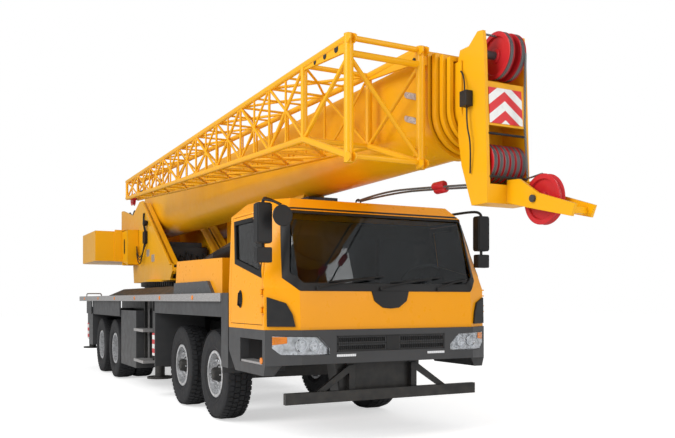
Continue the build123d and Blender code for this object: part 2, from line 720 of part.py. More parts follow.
def sheave(x, y, z, radius, width):
    half = width / 2
    outline = [
        (0, y - half),
        (radius - 6, y - half),
        (radius, y - half + 4),
        (radius - 24, y),
        (radius, y + half - 4),
        (radius - 6, y + half),
        (0, y + half),
    ]
    turned(outline, (x, 0, z))


with BuildPart() as sheaves:
    for y in (-60, 60):
        sheave(6250, y, 3530, 200, 56)
    bar((6250, -195, 3530), (6250, 195, 3530), 32)
    for y in (-150, -90, -30, 30, 90, 150):
        sheave(6190, y, 2630, 165, 50)
    bar((6190, -195, 2630), (6190, 195, 2630), 32)
    sheave(6650, 95, 2290, 205, 60)
    bar((6650, 5, 2290), (6650, 180, 2290), 30)
write(sheaves.part, "head_sheaves")

# ----------------------------------------------------------------------- fly jib
# Stations of the lattice from its foot back: X, inner and outer Y, bottom and top chord Z.
CHORD_R = 32
BRACE_R = 16
JIB_Z = BOOM_TOP + 20  # the top chords' height at the foot end
JIB_FOOT = (5700, -460, -1180, JIB_Z - 990, JIB_Z)
JIB_POST = (4820, -480, -1180, JIB_Z - 690, JIB_Z)
JIB_TIP = (-2900, -960, -1160, JIB_Z - 330, JIB_Z - 30)
JIB_BAYS = 9


def jib_station(t):
    """The four chord points a share t of the way from the second post to the tip."""
    x, y_in, y_out, low, high = (a + (b - a) * t for a, b in zip(JIB_POST, JIB_TIP))
    return [(x, y_in, low), (x, y_out, low), (x, y_out, high), (x, y_in, high)]


with BuildPart() as jib:
    x, y_in, y_out, low, high = JIB_FOOT
    foot_corners = [(x, y_in, low), (x, y_out, low), (x, y_out, high), (x, y_in, high)]
    stations = [jib_station(i / JIB_BAYS) for i in range(JIB_BAYS + 1)]
    for corner in range(4):
        bar(foot_corners[corner], stations[0][corner], CHORD_R)
        bar(stations[0][corner], stations[-1][corner], CHORD_R)
    for frame in (foot_corners, stations[0], stations[-1]):
        for corner in range(4):
            bar(frame[corner], frame[(corner + 1) % 4], BRACE_R + 8)
    for index in range(JIB_BAYS):
        near, far = stations[index], stations[index + 1]
        for corner in range(4):
            turn = (corner + 1) % 4
            start, end = (corner, turn) if index % 2 else (turn, corner)
            bar(near[start], far[end], BRACE_R)
    for z in (2760, 3560):  # lugs that pin the foot to the boom's collar
        block((5610, 5690), (-480, -384), (z, z + 80))
write(jib.part, "fly_jib")
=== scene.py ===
import math

import bmesh
import bpy
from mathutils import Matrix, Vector


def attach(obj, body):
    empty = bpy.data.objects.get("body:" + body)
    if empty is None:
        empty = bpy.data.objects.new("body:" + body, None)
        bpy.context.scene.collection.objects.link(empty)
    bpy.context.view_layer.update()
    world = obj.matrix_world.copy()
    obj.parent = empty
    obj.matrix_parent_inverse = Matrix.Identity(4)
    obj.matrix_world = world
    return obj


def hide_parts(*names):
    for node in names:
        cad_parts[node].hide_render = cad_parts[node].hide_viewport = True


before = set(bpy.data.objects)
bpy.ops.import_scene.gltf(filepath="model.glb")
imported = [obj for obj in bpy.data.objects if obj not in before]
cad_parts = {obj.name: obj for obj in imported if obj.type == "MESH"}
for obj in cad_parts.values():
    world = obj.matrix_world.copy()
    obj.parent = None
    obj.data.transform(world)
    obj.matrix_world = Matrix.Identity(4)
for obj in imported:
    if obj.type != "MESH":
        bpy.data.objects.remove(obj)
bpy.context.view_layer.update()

# ------------------------------------------------------------------------- chassis
# The carrier's frame, axles, springs and knuckles, and the engine between its rails. Mild
# steel plate and castings, welded, shot-blasted and sprayed with black chassis enamel.
ROAD_DUST = "#7A746A"


def linear(colour):
    """A linear RGBA colour from an sRGB hex value."""
    parts = [int(colour[i : i + 2], 16) / 255 for i in (1, 3, 5)]
    return [c / 12.92 if c <= 0.04045 else ((c + 0.055) / 1.055) ** 2.4 for c in parts] + [1.0]


def node(tree, kind, inputs=(), **settings):
    """Adds a node with its settings, and fills or links its inputs, by name or in their order.
    A hex value among them is a colour."""
    made = tree.nodes.new(kind)
    for name, value in settings.items():
        setattr(made, name, value)
    for socket, value in inputs.items() if isinstance(inputs, dict) else enumerate(inputs):
        if isinstance(value, str):
            value = linear(value)
        if isinstance(value, bpy.types.Node):
            value = next(s for s in value.outputs if s.enabled)
        if isinstance(value, bpy.types.NodeSocket):
            tree.links.new(value, made.inputs[socket])
        else:
            made.inputs[socket].default_value = value
    return made


def blank_material(name):
    """A material with nothing in its tree, the tree, and its Object coordinates."""
    made = bpy.data.materials.new(name)
    made.use_nodes = True
    tree = made.node_tree
    tree.nodes.clear()
    return made, tree, node(tree, "ShaderNodeTexCoord").outputs["Object"]


def enamel(name, colour, faded, chip, rough=0.34, coat=0.1, dust=0.12, second=None):
    """Sprayed enamel. It clouds a little from panel to panel, shows a paler film where its
    edges are rubbed, and holds road dust on its upward faces and low down. second is another
    colour and the function of (tree, place) that says where it lies."""
    made, tree, place = blank_material(name)
    # Clouds are about a metre across, and spots and dust patches about 110 mm.
    cloud = node(tree, "ShaderNodeTexNoise", {"Vector": place, "Scale": 1.1, "Detail": 4.0})
    share = node(tree, "ShaderNodeMapRange", (cloud, 0.35, 0.7))
    tone = node(tree, "ShaderNodeMix", {0: share, 6: colour, 7: faded}, data_type="RGBA")
    spots = node(tree, "ShaderNodeTexNoise", {"Vector": place, "Scale": 9.0, "Detail": 6.0})
    # The edge shows where a normal rounded over 6 mm leaves the face's own.
    edge = node(tree, "ShaderNodeBevel", {"Radius": 0.006}, samples=4)
    flat = node(tree, "ShaderNodeNewGeometry").outputs["Normal"]
    match = node(tree, "ShaderNodeVectorMath", (edge, flat), operation="DOT_PRODUCT")
    worn = node(tree, "ShaderNodeMapRange", (match.outputs["Value"], 0.995, 0.9))
    patchy = node(tree, "ShaderNodeMapRange", (spots, 0.56, 0.8))
    chipped = node(tree, "ShaderNodeMath", (worn, patchy), operation="MULTIPLY")
    if second:
        lies = second[1](tree, place)
        tone = node(tree, "ShaderNodeMix", {0: lies, 6: tone, 7: second[0]}, data_type="RGBA")
    tone = node(tree, "ShaderNodeMix", {0: chipped, 6: tone, 7: chip}, data_type="RGBA")
    height = node(tree, "ShaderNodeSeparateXYZ", (place,)).outputs["Z"]
    low = node(tree, "ShaderNodeMapRange", (height, 1.5, 0.3, 0.15, 1.0))
    lift = node(tree, "ShaderNodeSeparateXYZ", (flat,)).outputs["Z"]
    up = node(tree, "ShaderNodeMapRange", (lift, 0.4, 1.0, 0.3, 1.0))
    film = node(tree, "ShaderNodeMath", (low, up), operation="MAXIMUM")
    patches = node(tree, "ShaderNodeMapRange", (spots, 0.3, 0.7, 0.3, 1.0))
    for part in (patches, dust):
        film = node(tree, "ShaderNodeMath", (film, part), operation="MULTIPLY")
    tone = node(tree, "ShaderNodeMix", {0: film, 6: tone, 7: ROAD_DUST}, data_type="RGBA")
    gloss = node(tree, "ShaderNodeMapRange", (spots, 0.3, 0.75, rough - 0.05, rough + 0.1))
    # Orange peel is 2 to 4 mm across; drawn at 14 mm so that it shows.
    peel = node(tree, "ShaderNodeTexNoise", {"Vector": place, "Scale": 70.0, "Detail": 2.0})
    skin = node(tree, "ShaderNodeBump", {"Height": peel, "Distance": 0.001, "Strength": 0.12,
                                         "Normal": edge})
    shader = node(tree, "ShaderNodeBsdfPrincipled", {
        "Base Color": tone, "Roughness": gloss, "Specular IOR Level": 0.3, "Coat Weight": coat,
        "Coat Roughness": 0.12, "Normal": skin})
    node(tree, "ShaderNodeOutputMaterial", {"Surface": shader})
    return made


def finish(material, *names):
    """Gives CAD nodes their material."""
    for name in names:
        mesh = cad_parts[name].data
        mesh.materials.clear()
        mesh.materials.append(material)


# Black chassis enamel, half matt, and browner on its rubbed edges.
chassis_black = enamel("black_chassis_enamel", "#17181A", "#202123", "#4A4641", 0.42, 0.2, 0.2)
SIDES = {"right": -1, "left": 1}
finish(chassis_black, "chassis", "axles",
       *[f"knuckle_{axle}_{side}" for axle in (1, 2) for side in SIDES])
# Sand-cast iron, matt, with an oily film that holds dust.
cast_iron = enamel("oily_cast_iron", "#2A2B2C", "#383836", "#5A544C", 0.5, 0.1, 0.3)
finish(cast_iron, "engine")

# -------------------------------------------------------------------------- wheels
# Twelve radial truck tyres, moulded from black rubber, on ten-stud rims of forged aluminium
# with round hand holes: singles on the two steered axles, twins behind. Nuts and a hub hold each.
AXLE_X = (2.2, 0.75, -3.6, -4.95)
WHEEL_Z = 0.561
TYRE_R = 0.561
FRONT_Y = 1.043
TWIN_Y = (1.093, 0.745)
TWIN_MIDDLE = sum(TWIN_Y) / 2
# How far outboard of the tyre's middle the disc's face stands.
FRONT_DISH = 0.08
TWIN_DISH = 0.06
AXLE_ALONG_Y = (math.pi / 2, 0, 0)


def lathe(form, outline, centre, steps=48, axis="Y"):
    """Turns an outline of (radius, offset) points about an axis through centre. Outlines that
    start and end on the axis or close on themselves make a closed skin."""
    turns = [2 * math.pi * i / steps for i in range(steps)]
    rings = []
    for radius, offset in outline:
        spots = []
        for a in turns if radius > 1e-6 else turns[:1]:
            c, s = radius * math.cos(a), radius * math.sin(a)
            spot = {"X": (offset, c, s), "Y": (c, offset, s), "Z": (c, s, offset)}[axis]
            spots.append(form.verts.new(Vector(spot) + Vector(centre)))
        rings.append(spots)
    for low, high in zip(rings, rings[1:]):
        for i in range(steps):
            j = (i + 1) % steps
            corners = (low[i % len(low)], low[j % len(low)], high[j % len(high)], high[i % len(high)])
            face = list(dict.fromkeys(corners))
            if len(face) > 2:
                form.faces.new(face)


def joined(form, skins, loop=True):
    """Walls between two rows of spots: round the whole outline, or only along it."""
    low, high = skins
    for i in range(len(low) - (not loop)):
        j = (i + 1) % len(low)
        form.faces.new([low[i], low[j], high[j], high[i]])


def plate(form, points, axis, low, high):
    """A plate of outline points between two values of axis: (Y, Z), (X, Z) or (X, Y) points."""
    at = "XYZ".index(axis)
    skins = [[form.verts.new((*pair[:at], level, *pair[at:])) for pair in points]
             for level in (low, high)]
    for skin in skins:
        form.faces.new(skin)
    joined(form, skins)


def block(form, x, y, z):
    """A box between three pairs of limits."""
    plate(form, [(x[0], y[0]), (x[1], y[0]), (x[1], y[1]), (x[0], y[1])], "Z", *z)


def object_from(name, form):
    """An object in the scene whose mesh is the form, which is freed."""
    mesh = bpy.data.meshes.new(name)
    form.to_mesh(mesh)
    form.free()
    made = bpy.data.objects.new(name, mesh)
    bpy.context.scene.collection.objects.link(made)
    return made


def piece(form, name, body, material, stands_for=(), soften=0.0, steps=1, crease=32):
    """Turns a form into a finished piece on a body: closed, facing outwards, its edges
    softened by a real width, and smooth over faces that meet at less than crease degrees."""
    bmesh.ops.remove_doubles(form, verts=form.verts, dist=1e-5)
    bmesh.ops.recalc_face_normals(form, faces=form.faces)
    limit = math.radians(crease)
    if soften:
        sharp = [e for e in form.edges if len(e.link_faces) == 2 and e.calc_face_angle(0) > limit]
        bmesh.ops.bevel(form, geom=sharp, offset=soften, segments=steps, affect="EDGES",
                        clamp_overlap=True)
    for face in form.faces:
        face.smooth = True
    for edge in form.edges:
        edge.smooth = len(edge.link_faces) == 2 and edge.calc_face_angle(0) < limit
    made = object_from(name, form)
    made.data.materials.append(material)
    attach(made, body)
    if stands_for:
        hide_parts(*stands_for)


def sized_tree(name, sizes):
    """A Geometry Nodes tree with a mesh in and out and named inputs. Returns it and its source."""
    tree = bpy.data.node_groups.new(name, "GeometryNodeTree")
    tree.is_modifier = True
    for label, kind in {"Mesh": "Geometry", **sizes, "Finish": "Material"}.items():
        tree.interface.new_socket(label, in_out="INPUT", socket_type="NodeSocket" + kind)
    tree.interface.new_socket("Mesh", in_out="OUTPUT", socket_type="NodeSocketGeometry")
    return tree, node(tree, "NodeGroupInput").outputs


def tree_end(tree, source, placed):
    """Ends a tree: its instances made real and given their finish."""
    real = node(tree, "GeometryNodeRealizeInstances", {"Geometry": placed})
    faced = node(tree, "GeometryNodeSetMaterial", {"Geometry": real, "Material": source["Finish"]})
    node(tree, "NodeGroupOutput", {"Mesh": faced})


# Sets a mesh round a circle about +Z, then turns and moves the whole ring.
ring, source = sized_tree("set_in_a_ring", {"Count": "Int", "Radius": "Float", "Turn": "Rotation",
                                            "Centre": "Vector"})
spots = node(ring, "GeometryNodeMeshCircle", {"Vertices": source["Count"],
                                              "Radius": source["Radius"]})
share = node(ring, "ShaderNodeMath", (2 * math.pi, source["Count"]), operation="DIVIDE")
angle = node(ring, "ShaderNodeMath", (node(ring, "GeometryNodeInputIndex"), share),
             operation="MULTIPLY")
placed = node(ring, "GeometryNodeInstanceOnPoints", {
    "Points": spots, "Instance": source["Mesh"],
    "Rotation": node(ring, "ShaderNodeCombineXYZ", {"Z": angle})})
tree_end(ring, source, node(ring, "GeometryNodeTransform", {
    "Geometry": placed, "Translation": source["Centre"], "Rotation": source["Turn"]}))

# Sets a mesh along a straight line, a step apart.
row, source = sized_tree("set_in_a_row", {"Count": "Int", "Start": "Vector", "Step": "Vector"})
spots = node(row, "GeometryNodeMeshLine", {
    "Count": source["Count"], "Start Location": source["Start"], "Offset": source["Step"]})
tree_end(row, source, node(row, "GeometryNodeInstanceOnPoints", {
    "Points": spots, "Instance": source["Mesh"]}))


def repeated(form, unit, tree, finish_with, **sizes):
    """Adds to form the unit form repeated by a tree."""
    carrier = object_from("unit", unit)
    modifier = carrier.modifiers.new("repeat", "NODES")
    modifier.node_group = tree
    sizes["Finish"] = finish_with
    for item in tree.interface.items_tree:
        if item.in_out == "INPUT" and item.name in sizes:
            modifier[item.identifier] = sizes[item.name]
    bpy.context.view_layer.update()
    seen = carrier.evaluated_get(bpy.context.evaluated_depsgraph_get())
    result = bpy.data.meshes.new_from_object(seen)
    bpy.data.objects.remove(carrier)
    form.from_mesh(result)
    bpy.data.meshes.remove(result)


def bare_surface(name, pattern, colours, gloss, share=(0.0, 1.0), relief=None, grain=None,
                 bands=None, stretch=None, **shader):
    """An unpainted surface whose colours, gloss and skin follow a noise, or a wave with bands.
    colours change over while the pattern passes share; gloss is the pattern's range and the
    roughness at its ends; relief is a depth and strength, of the pattern or a finer grain."""
    made, tree, place = blank_material(name)
    if stretch:
        place = node(tree, "ShaderNodeMapping", {"Vector": place, "Scale": stretch})
    kind = "ShaderNodeTexWave" if bands else "ShaderNodeTexNoise"
    settings = {"bands_direction": bands} if bands else {}
    drawn = node(tree, kind, {"Vector": place, **pattern}, **settings)
    if not isinstance(colours, str):
        part = node(tree, "ShaderNodeMapRange", (drawn, *share))
        colours = node(tree, "ShaderNodeMix", {0: part, 6: colours[0], 7: colours[1]},
                       data_type="RGBA")
    sockets = {name.replace("_", " "): value for name, value in shader.items()}
    if relief:
        height = node(tree, kind, {"Vector": place, **grain}) if grain else drawn
        sockets["Normal"] = node(tree, "ShaderNodeBump", {
            "Height": height, "Distance": relief[0], "Strength": relief[1]})
    rough = node(tree, "ShaderNodeMapRange", (drawn, *gloss))
    node(tree, "ShaderNodeOutputMaterial", {"Surface": node(tree, "ShaderNodeBsdfPrincipled", {
        "Base Color": colours, "Roughness": rough, **sockets})})
    return made


# Carbon-black tread rubber: matt, greyer in 70 mm patches of dust, over a 6 mm grain.
rubber = bare_surface(
    "moulded_tyre_rubber", {"Scale": 14.0, "Detail": 6.0}, ("#121314", "#26262A"),
    (0.3, 0.7, 0.55, 0.8), (0.35, 0.7), (0.001, 0.4), {"Scale": 160.0, "Detail": 3.0})
# Forged aluminium, turned and polished: bright, with a grey haze in 45 mm clouds and 4 mm marks.
alloy = bare_surface(
    "polished_forged_aluminium", {"Scale": 22.0, "Detail": 5.0}, ("#D9DADC", "#9A9B9C"),
    (0.3, 0.8, 0.25, 0.45), (0.4, 0.75), (0.0005, 0.15), {"Scale": 240.0, "Detail": 2.0},
    Metallic=0.55)
# Black enamel on the hub castings, rubbed to steel at its edges.
hub_steel = enamel("black_hub_enamel", "#191A1B", "#242525", "#8C8C88", 0.45, 0.1, 0.12)

# Half the tyre's outline, from bead to tread: radius, and distance from the middle.
HALF_TYRE = [(0.272, 0.124), (0.300, 0.126), (0.306, 0.136), (0.325, 0.148), (0.350, 0.1545),
             (0.352, 0.1565), (0.362, 0.1565), (0.364, 0.1545), (0.410, 0.1560), (0.455, 0.1555),
             (0.470, 0.1565), (0.500, 0.1540), (0.522, 0.1480), (0.541, 0.1340), (0.5475, 0.1180),
             (0.549, 0.03)]
# Tread blocks as (across from, across to, start, end), the last two as shares of a lug pitch.
LUGS = 50
BLOCKS = [(-0.150, -0.078, 0.06, 0.80), (-0.066, -0.006, 0.30, 1.12), (0.006, 0.066, -0.12, 0.70),
          (0.078, 0.150, 0.20, 0.94)]
BLOCK_ROOT_R = 0.540
# Past this distance from the middle a block's top drops away.
SHOULDER = 0.1
SHOULDER_DROP = 0.016


def tyre(form, x, y):
    """A tyre's carcass and its tread blocks, its axle along Y."""
    outline = [(r, -w) for r, w in HALF_TYRE] + [(r, w) for r, w in HALF_TYRE[::-1]]
    lathe(form, [*outline, outline[0]], (x, y, WHEEL_Z), 80)
    unit = bmesh.new()
    pitch = 2 * math.pi / LUGS
    for low, high, start, end in BLOCKS:
        skins = []
        for radius in (BLOCK_ROOT_R, TYRE_R):
            skins.append([])
            for across, turn in ((low, start), (high, start), (high, end), (low, end)):
                dropped = abs(across) > SHOULDER and radius == TYRE_R
                r = radius - (SHOULDER_DROP if dropped else 0.0)
                a = (turn - 0.5) * pitch
                # In the ring the spoke lies along +X and the axle along +Z.
                at = (r * math.cos(a) - TYRE_R, r * math.sin(a), across)
                skins[-1].append(unit.verts.new(at))
            unit.faces.new(skins[-1])
        joined(unit, skins)
    repeated(form, unit, ring, rubber, Count=LUGS, Radius=TYRE_R, Centre=(x, y, WHEEL_Z),
             Turn=AXLE_ALONG_Y)


# The rim's barrel with its two flanges, as radius and offset, and the disc's hand holes and
# radii, from its bore out to where it meets the barrel.
BARREL = [(0.256, -0.138), (0.286, -0.139), (0.292, -0.135), (0.292, -0.128), (0.272, -0.122),
          (0.262, -0.09), (0.262, 0.09), (0.272, 0.122), (0.292, 0.128), (0.292, 0.135),
          (0.286, 0.139), (0.256, 0.138), (0.252, 0.09), (0.252, -0.09), (0.256, -0.138)]
HOLES = 10
HOLE_R = 0.027
HOLE_AT = 0.198
DISC_THICK = 0.012
DISC_DEPTH = 0.07
DISC_MIDDLE = 0.2
DISC_BORE, DISC_BEND, DISC_FACE, DISC_EDGE, DISC_END = 0.080, 0.138, 0.160, 0.236, 0.254


def rim(form, x, y, side, dish):
    """A rim: the barrel, and a disc with round hand holes that stands dish outboard of the
    rim's middle."""
    lathe(form, BARREL, (x, y, WHEEL_Z), 64)
    outboard = math.copysign(1, dish)
    start = side * (dish - outboard * DISC_DEPTH)
    profile = [(DISC_BORE, side * dish), (DISC_BEND, side * dish), (DISC_FACE, side * (dish - 0.006)),
               (DISC_EDGE, start + side * outboard * DISC_THICK), (DISC_END, start)]

    def depth(r):
        for (r0, y0), (r1, y1) in zip(profile, profile[1:]):
            if r <= r1:
                return y0 + (y1 - y0) * (r - r0) / (r1 - r0)
        return profile[-1][1]

    # One tenth of the disc, with its hole, laid flat: spoke along +X, axle along +Z.
    unit = bmesh.new()
    wedge, parts = math.pi / HOLES, 6
    turns = [wedge * (2 * i / parts - 1) for i in range(parts + 1)]
    border = [(DISC_FACE, a) for a in turns] + [(HOLE_AT, wedge)]
    border += [(DISC_EDGE, a) for a in turns[::-1]] + [(HOLE_AT, -wedge)]
    skins = []
    for thick in (0.0, -side * DISC_THICK):
        def spot(r, a):
            level = -(depth(r) + thick)
            return unit.verts.new((r * math.cos(a) - DISC_MIDDLE, r * math.sin(a), level))

        hole = []
        for r, a in border:
            toward = math.atan2(r * math.sin(a), r * math.cos(a) - HOLE_AT)
            hx, hy = HOLE_AT + HOLE_R * math.cos(toward), HOLE_R * math.sin(toward)
            hole.append(spot(math.hypot(hx, hy), math.atan2(hy, hx)))
        joined(unit, ([spot(r, a) for r, a in border], hole))
        for low, high in ((DISC_FACE, DISC_BEND), (DISC_BEND, DISC_BORE), (DISC_EDGE, DISC_END)):
            joined(unit, ([spot(low, a) for a in turns], [spot(high, a) for a in turns]), False)
        skins.append(hole)
    joined(unit, skins)
    bmesh.ops.remove_doubles(unit, verts=unit.verts, dist=1e-5)
    repeated(form, unit, ring, alloy, Count=HOLES, Radius=DISC_MIDDLE, Centre=(x, y, WHEEL_Z),
             Turn=AXLE_ALONG_Y)


STUDS = 10
STUD_CIRCLE_R = 0.1675
HUB_BOLTS = 8
HUB_BOLT_CIRCLE_R = 0.063
FRONT_HUB, REAR_HUB = 0.128, 0.105


def nuts(form, x, y, out):
    """Wheel nuts on the disc's outer face at y, pointing outboard, with their stud ends."""
    unit = bmesh.new()
    for steps, outline in ((6, [(0, 0), (0.0165, 0), (0.0165, 0.024), (0.013, 0.028), (0, 0.028)]),
                           (10, [(0, 0.02), (0.0105, 0.02), (0.0105, 0.050), (0, 0.052)])):
        lathe(unit, [(r, -out * d) for r, d in outline], (0, 0, 0), steps, "Z")
    repeated(form, unit, ring, alloy, Count=STUDS, Radius=STUD_CIRCLE_R, Centre=(x, y, WHEEL_Z),
             Turn=AXLE_ALONG_Y)


def hub(form, x, side, face, reach):
    """A stepped hub on the disc's face, a ring of small bolts round its cap, and its back."""
    shape = [(0, 0), (0.118, 0), (0.118, 0.012), (0.098, 0.02), (0.09, 0.04), (0.08, reach - 0.05),
             (0.072, reach - 0.036), (0.055, reach - 0.03), (0.0, reach - 0.028)]
    foot = face - DISC_THICK
    lathe(form, [(r, side * (foot + d)) for r, d in shape], (x, 0, WHEEL_Z), 40)
    back = [(0, -0.16), (0.18, -0.16), (0.2, -0.14), (0.2, -0.04), (0.13, 0.0), (0.1, 0.0), (0, 0.0)]
    lathe(form, [(r, side * (face - 0.03 + d)) for r, d in back], (x, 0, WHEEL_Z), 40)
    unit = bmesh.new()
    lathe(unit, [(0, 0), (0.007, 0), (0.007, -side * 0.008), (0, -side * 0.008)], (0, 0, 0), 6, "Z")
    repeated(form, unit, ring, hub_steel, Count=HUB_BOLTS, Radius=HUB_BOLT_CIRCLE_R,
             Turn=AXLE_ALONG_Y, Centre=(x, side * (foot + reach - 0.034), WHEEL_Z))


for number, x in enumerate(AXLE_X, 1):
    single = number < 3
    plural = "" if single else "s"
    # Each tyre's middle, and how far its disc stands outboard of it.
    rims = ((FRONT_Y, FRONT_DISH),) if single else tuple(
        (y, TWIN_MIDDLE + way * TWIN_DISH - y) for y, way in zip(TWIN_Y, (1, -1)))
    face = sum(rims[0])
    for side_name, side in SIDES.items():
        body = f"wheel{plural}_{number}_{side_name}"
        tyres, discs = bmesh.new(), bmesh.new()
        for y, dish in rims:
            tyre(tyres, x, side * y)
            rim(discs, x, side * y, side, dish)
        node_name = f"tyre{plural}_{number}_{side_name}"
        piece(tyres, f"{node_name}_rubber", body, rubber, [node_name], crease=40)
        nuts(discs, x, side * (face + 0.002), side)
        node_name = f"rim{plural}_{number}_{side_name}"
        piece(discs, f"{node_name}_alloy", body, alloy, crease=35)
        form = bmesh.new()
        hub(form, x, side, face, FRONT_HUB if single else REAR_HUB)
        piece(form, f"hub_{number}_{side_name}", body, hub_steel, [node_name])

# ---------------------------------------------------------------------- outriggers
# Box beams that slide out of the frame, each with a jack and its float, welded from plate and
# sprayed with chassis enamel. Aluminium warning boards in striped film are bolted to them.
finish(chassis_black, *[f"outrigger_{part}_{station}_{side}" for part in ("beam", "jack")
                        for station in ("mid", "rear") for side in SIDES])


def striped(name, lean, per_metre, white, red, dust):
    """Retro-reflective film in slanting white and red stripes, satin, with grime in 60 mm
    clouds. lean is the function of (tree, Y) that a stripe's height follows."""
    made, tree, place = blank_material(name)
    at = node(tree, "ShaderNodeSeparateXYZ", (place,)).outputs
    slant = node(tree, "ShaderNodeMath", (lean(tree, at["Y"]), at["Z"]), operation="ADD")
    slant = node(tree, "ShaderNodeMath", (slant, per_metre), operation="MULTIPLY")
    part = node(tree, "ShaderNodeMath", (slant,), operation="FRACT")
    stripe = node(tree, "ShaderNodeMath", (part, 0.5), operation="GREATER_THAN")
    grime = node(tree, "ShaderNodeTexNoise", {"Vector": place, "Scale": 16.0, "Detail": 5.0})
    film = node(tree, "ShaderNodeMapRange", (grime, 0.5, 0.8, 0.0, dust))
    tone = node(tree, "ShaderNodeMix", {0: stripe, 6: white, 7: red}, data_type="RGBA")
    tone = node(tree, "ShaderNodeMix", {0: film, 6: tone, 7: ROAD_DUST}, data_type="RGBA")
    rough = node(tree, "ShaderNodeMapRange", (grime, 0.3, 0.7, 0.3, 0.5))
    skin = node(tree, "ShaderNodeBump", {"Height": grime, "Distance": 0.0005, "Strength": 0.2})
    node(tree, "ShaderNodeOutputMaterial", {"Surface": node(tree, "ShaderNodeBsdfPrincipled", {
        "Base Color": tone, "Roughness": rough, "Normal": skin})})
    return made


# Stripes at 45 degrees, 70 mm high.
boards = striped("striped_reflective_board", lambda tree, y: y, 7.2, "#F1F1EE", "#D5202A", 0.35)
BEAM_X = {"mid": -0.54, "rear": -6.38}
# A beam lies this far off its box's middle, so that the two sides' beams pass each other.
BEAM_OFF = 0.12
BOARD_Z = (0.62, 0.97)
for station, middle in BEAM_X.items():
    for side_name, side in SIDES.items():
        x = middle - side * BEAM_OFF
        form = bmesh.new()
        block(form, (x + 0.101, x + 0.108), (side * 1.09, side * 1.29), BOARD_Z)
        block(form, (x - 0.1, x + 0.1), (side * 1.281, side * 1.287), BOARD_Z)
        piece(form, f"warning_board_{station}_{side_name}",
              f"outrigger_beam_{station}_{side_name}", boards, soften=0.002)

# ---------------------------------------------------------------- deck, lockers and steps
# Chequered steel plate between two extruded aluminium rails, folded lockers, guards and steps
# below it, and what is bolted on: plinth, step posts, grab rails, markers and air hoses.

# Satin dark grey enamel, even in tone.
dark_grey = enamel("satin_dark_grey_enamel", "#3D3E40", "#444547", "#77756F", 0.42, 0.1, 0.1)
finish(dark_grey, "side_lockers", "mudguards")
# Extruded aluminium, brushed along its length in streaks 4 mm across, under clear lacquer.
brushed = bare_surface(
    "brushed_aluminium_extrusion", {"Scale": 4.0, "Detail": 5.0}, ("#C9C7C6", "#A5A3A2"),
    (0.3, 0.7, 0.35, 0.55), (0.35, 0.7), (0.001, 0.15), stretch=(4.0, 60.0, 60.0), Metallic=0.6)
finish(brushed, "steps")

# Chequer plate: raised almond bars 40 mm apart, each one turned across the next, painted dark
# grey and worn to the steel on the bars.
CHEQUER_PITCH = 0.04
chequer, tree, place = blank_material("painted_chequer_plate")
turned = node(tree, "ShaderNodeMapping", {
    "Vector": place, "Rotation": (0.0, 0.0, math.pi / 4),
    "Scale": (1 / CHEQUER_PITCH, 1 / CHEQUER_PITCH, 1.0)})
axes = node(tree, "ShaderNodeSeparateXYZ", (turned,)).outputs
cells, squares = [], []
for name in ("X", "Y"):
    cells.append(node(tree, "ShaderNodeMath", (axes[name],), operation="FLOOR"))
    part = node(tree, "ShaderNodeMath", (axes[name],), operation="FRACT")
    part = node(tree, "ShaderNodeMath", (part, 0.5), operation="SUBTRACT")
    squares.append(node(tree, "ShaderNodeMath", (part, part), operation="MULTIPLY"))
odd = node(tree, "ShaderNodeMath", cells, operation="ADD")
odd = node(tree, "ShaderNodeMath", (odd, 2.0), operation="FLOORED_MODULO")
bars = []
for along, across in (squares, squares[::-1]):
    long_way = node(tree, "ShaderNodeMath", (along, 5.5), operation="MULTIPLY")
    short_way = node(tree, "ShaderNodeMath", (across, 90.0), operation="MULTIPLY")
    bars.append(node(tree, "ShaderNodeMath", (long_way, short_way), operation="ADD"))
reach = node(tree, "ShaderNodeMix", {0: odd, 2: bars[0], 3: bars[1]}, data_type="FLOAT")
raised = node(tree, "ShaderNodeMapRange", (reach, 1.0, 0.55))
wear = node(tree, "ShaderNodeTexNoise", {"Vector": place, "Scale": 2.5, "Detail": 6.0})
rubbed = node(tree, "ShaderNodeMath", (
    raised, node(tree, "ShaderNodeMapRange", (wear, 0.45, 0.7))), operation="MULTIPLY")
dusty = node(tree, "ShaderNodeMapRange", (wear, 0.4, 0.75, 0.0, 0.3))
tone = node(tree, "ShaderNodeMix", {0: rubbed, 6: "#3F4041", 7: "#8D8B88"}, data_type="RGBA")
tone = node(tree, "ShaderNodeMix", {0: dusty, 6: tone, 7: ROAD_DUST}, data_type="RGBA")
node(tree, "ShaderNodeOutputMaterial", {"Surface": node(tree, "ShaderNodeBsdfPrincipled", {
    "Base Color": tone, "Roughness": node(tree, "ShaderNodeMapRange", (wear, 0.3, 0.7, 0.4, 0.65)),
    "Normal": node(tree, "ShaderNodeBump", {
        "Height": raised, "Distance": 0.002, "Strength": 0.8})})})
finish(chequer, "deck")

# The two side rails and the rear one, as bright covers over the deck's rim.
DECK_X = (-6.89, 2.97)
DECK_TOP = 1.5
RAIL_Y = (1.3455, 1.3762)
RAIL_Z = (1.462, 1.5615)
form = bmesh.new()
for side in SIDES.values():
    block(form, (DECK_X[0] - 0.001, DECK_X[1] + 0.001), [side * y for y in RAIL_Y], RAIL_Z)
block(form, (DECK_X[0] - 0.0015, DECK_X[0] + 0.031), (-1.345, 1.345), RAIL_Z)
piece(form, "deck_rails", "carrier", brushed, soften=0.003)

# Moulded ABS in half-matt black.
black_plastic = enamel("black_moulded_plastic", "#1B1C1E", "#242527", "#3A3A3A", 0.45, 0.0, 0.12)
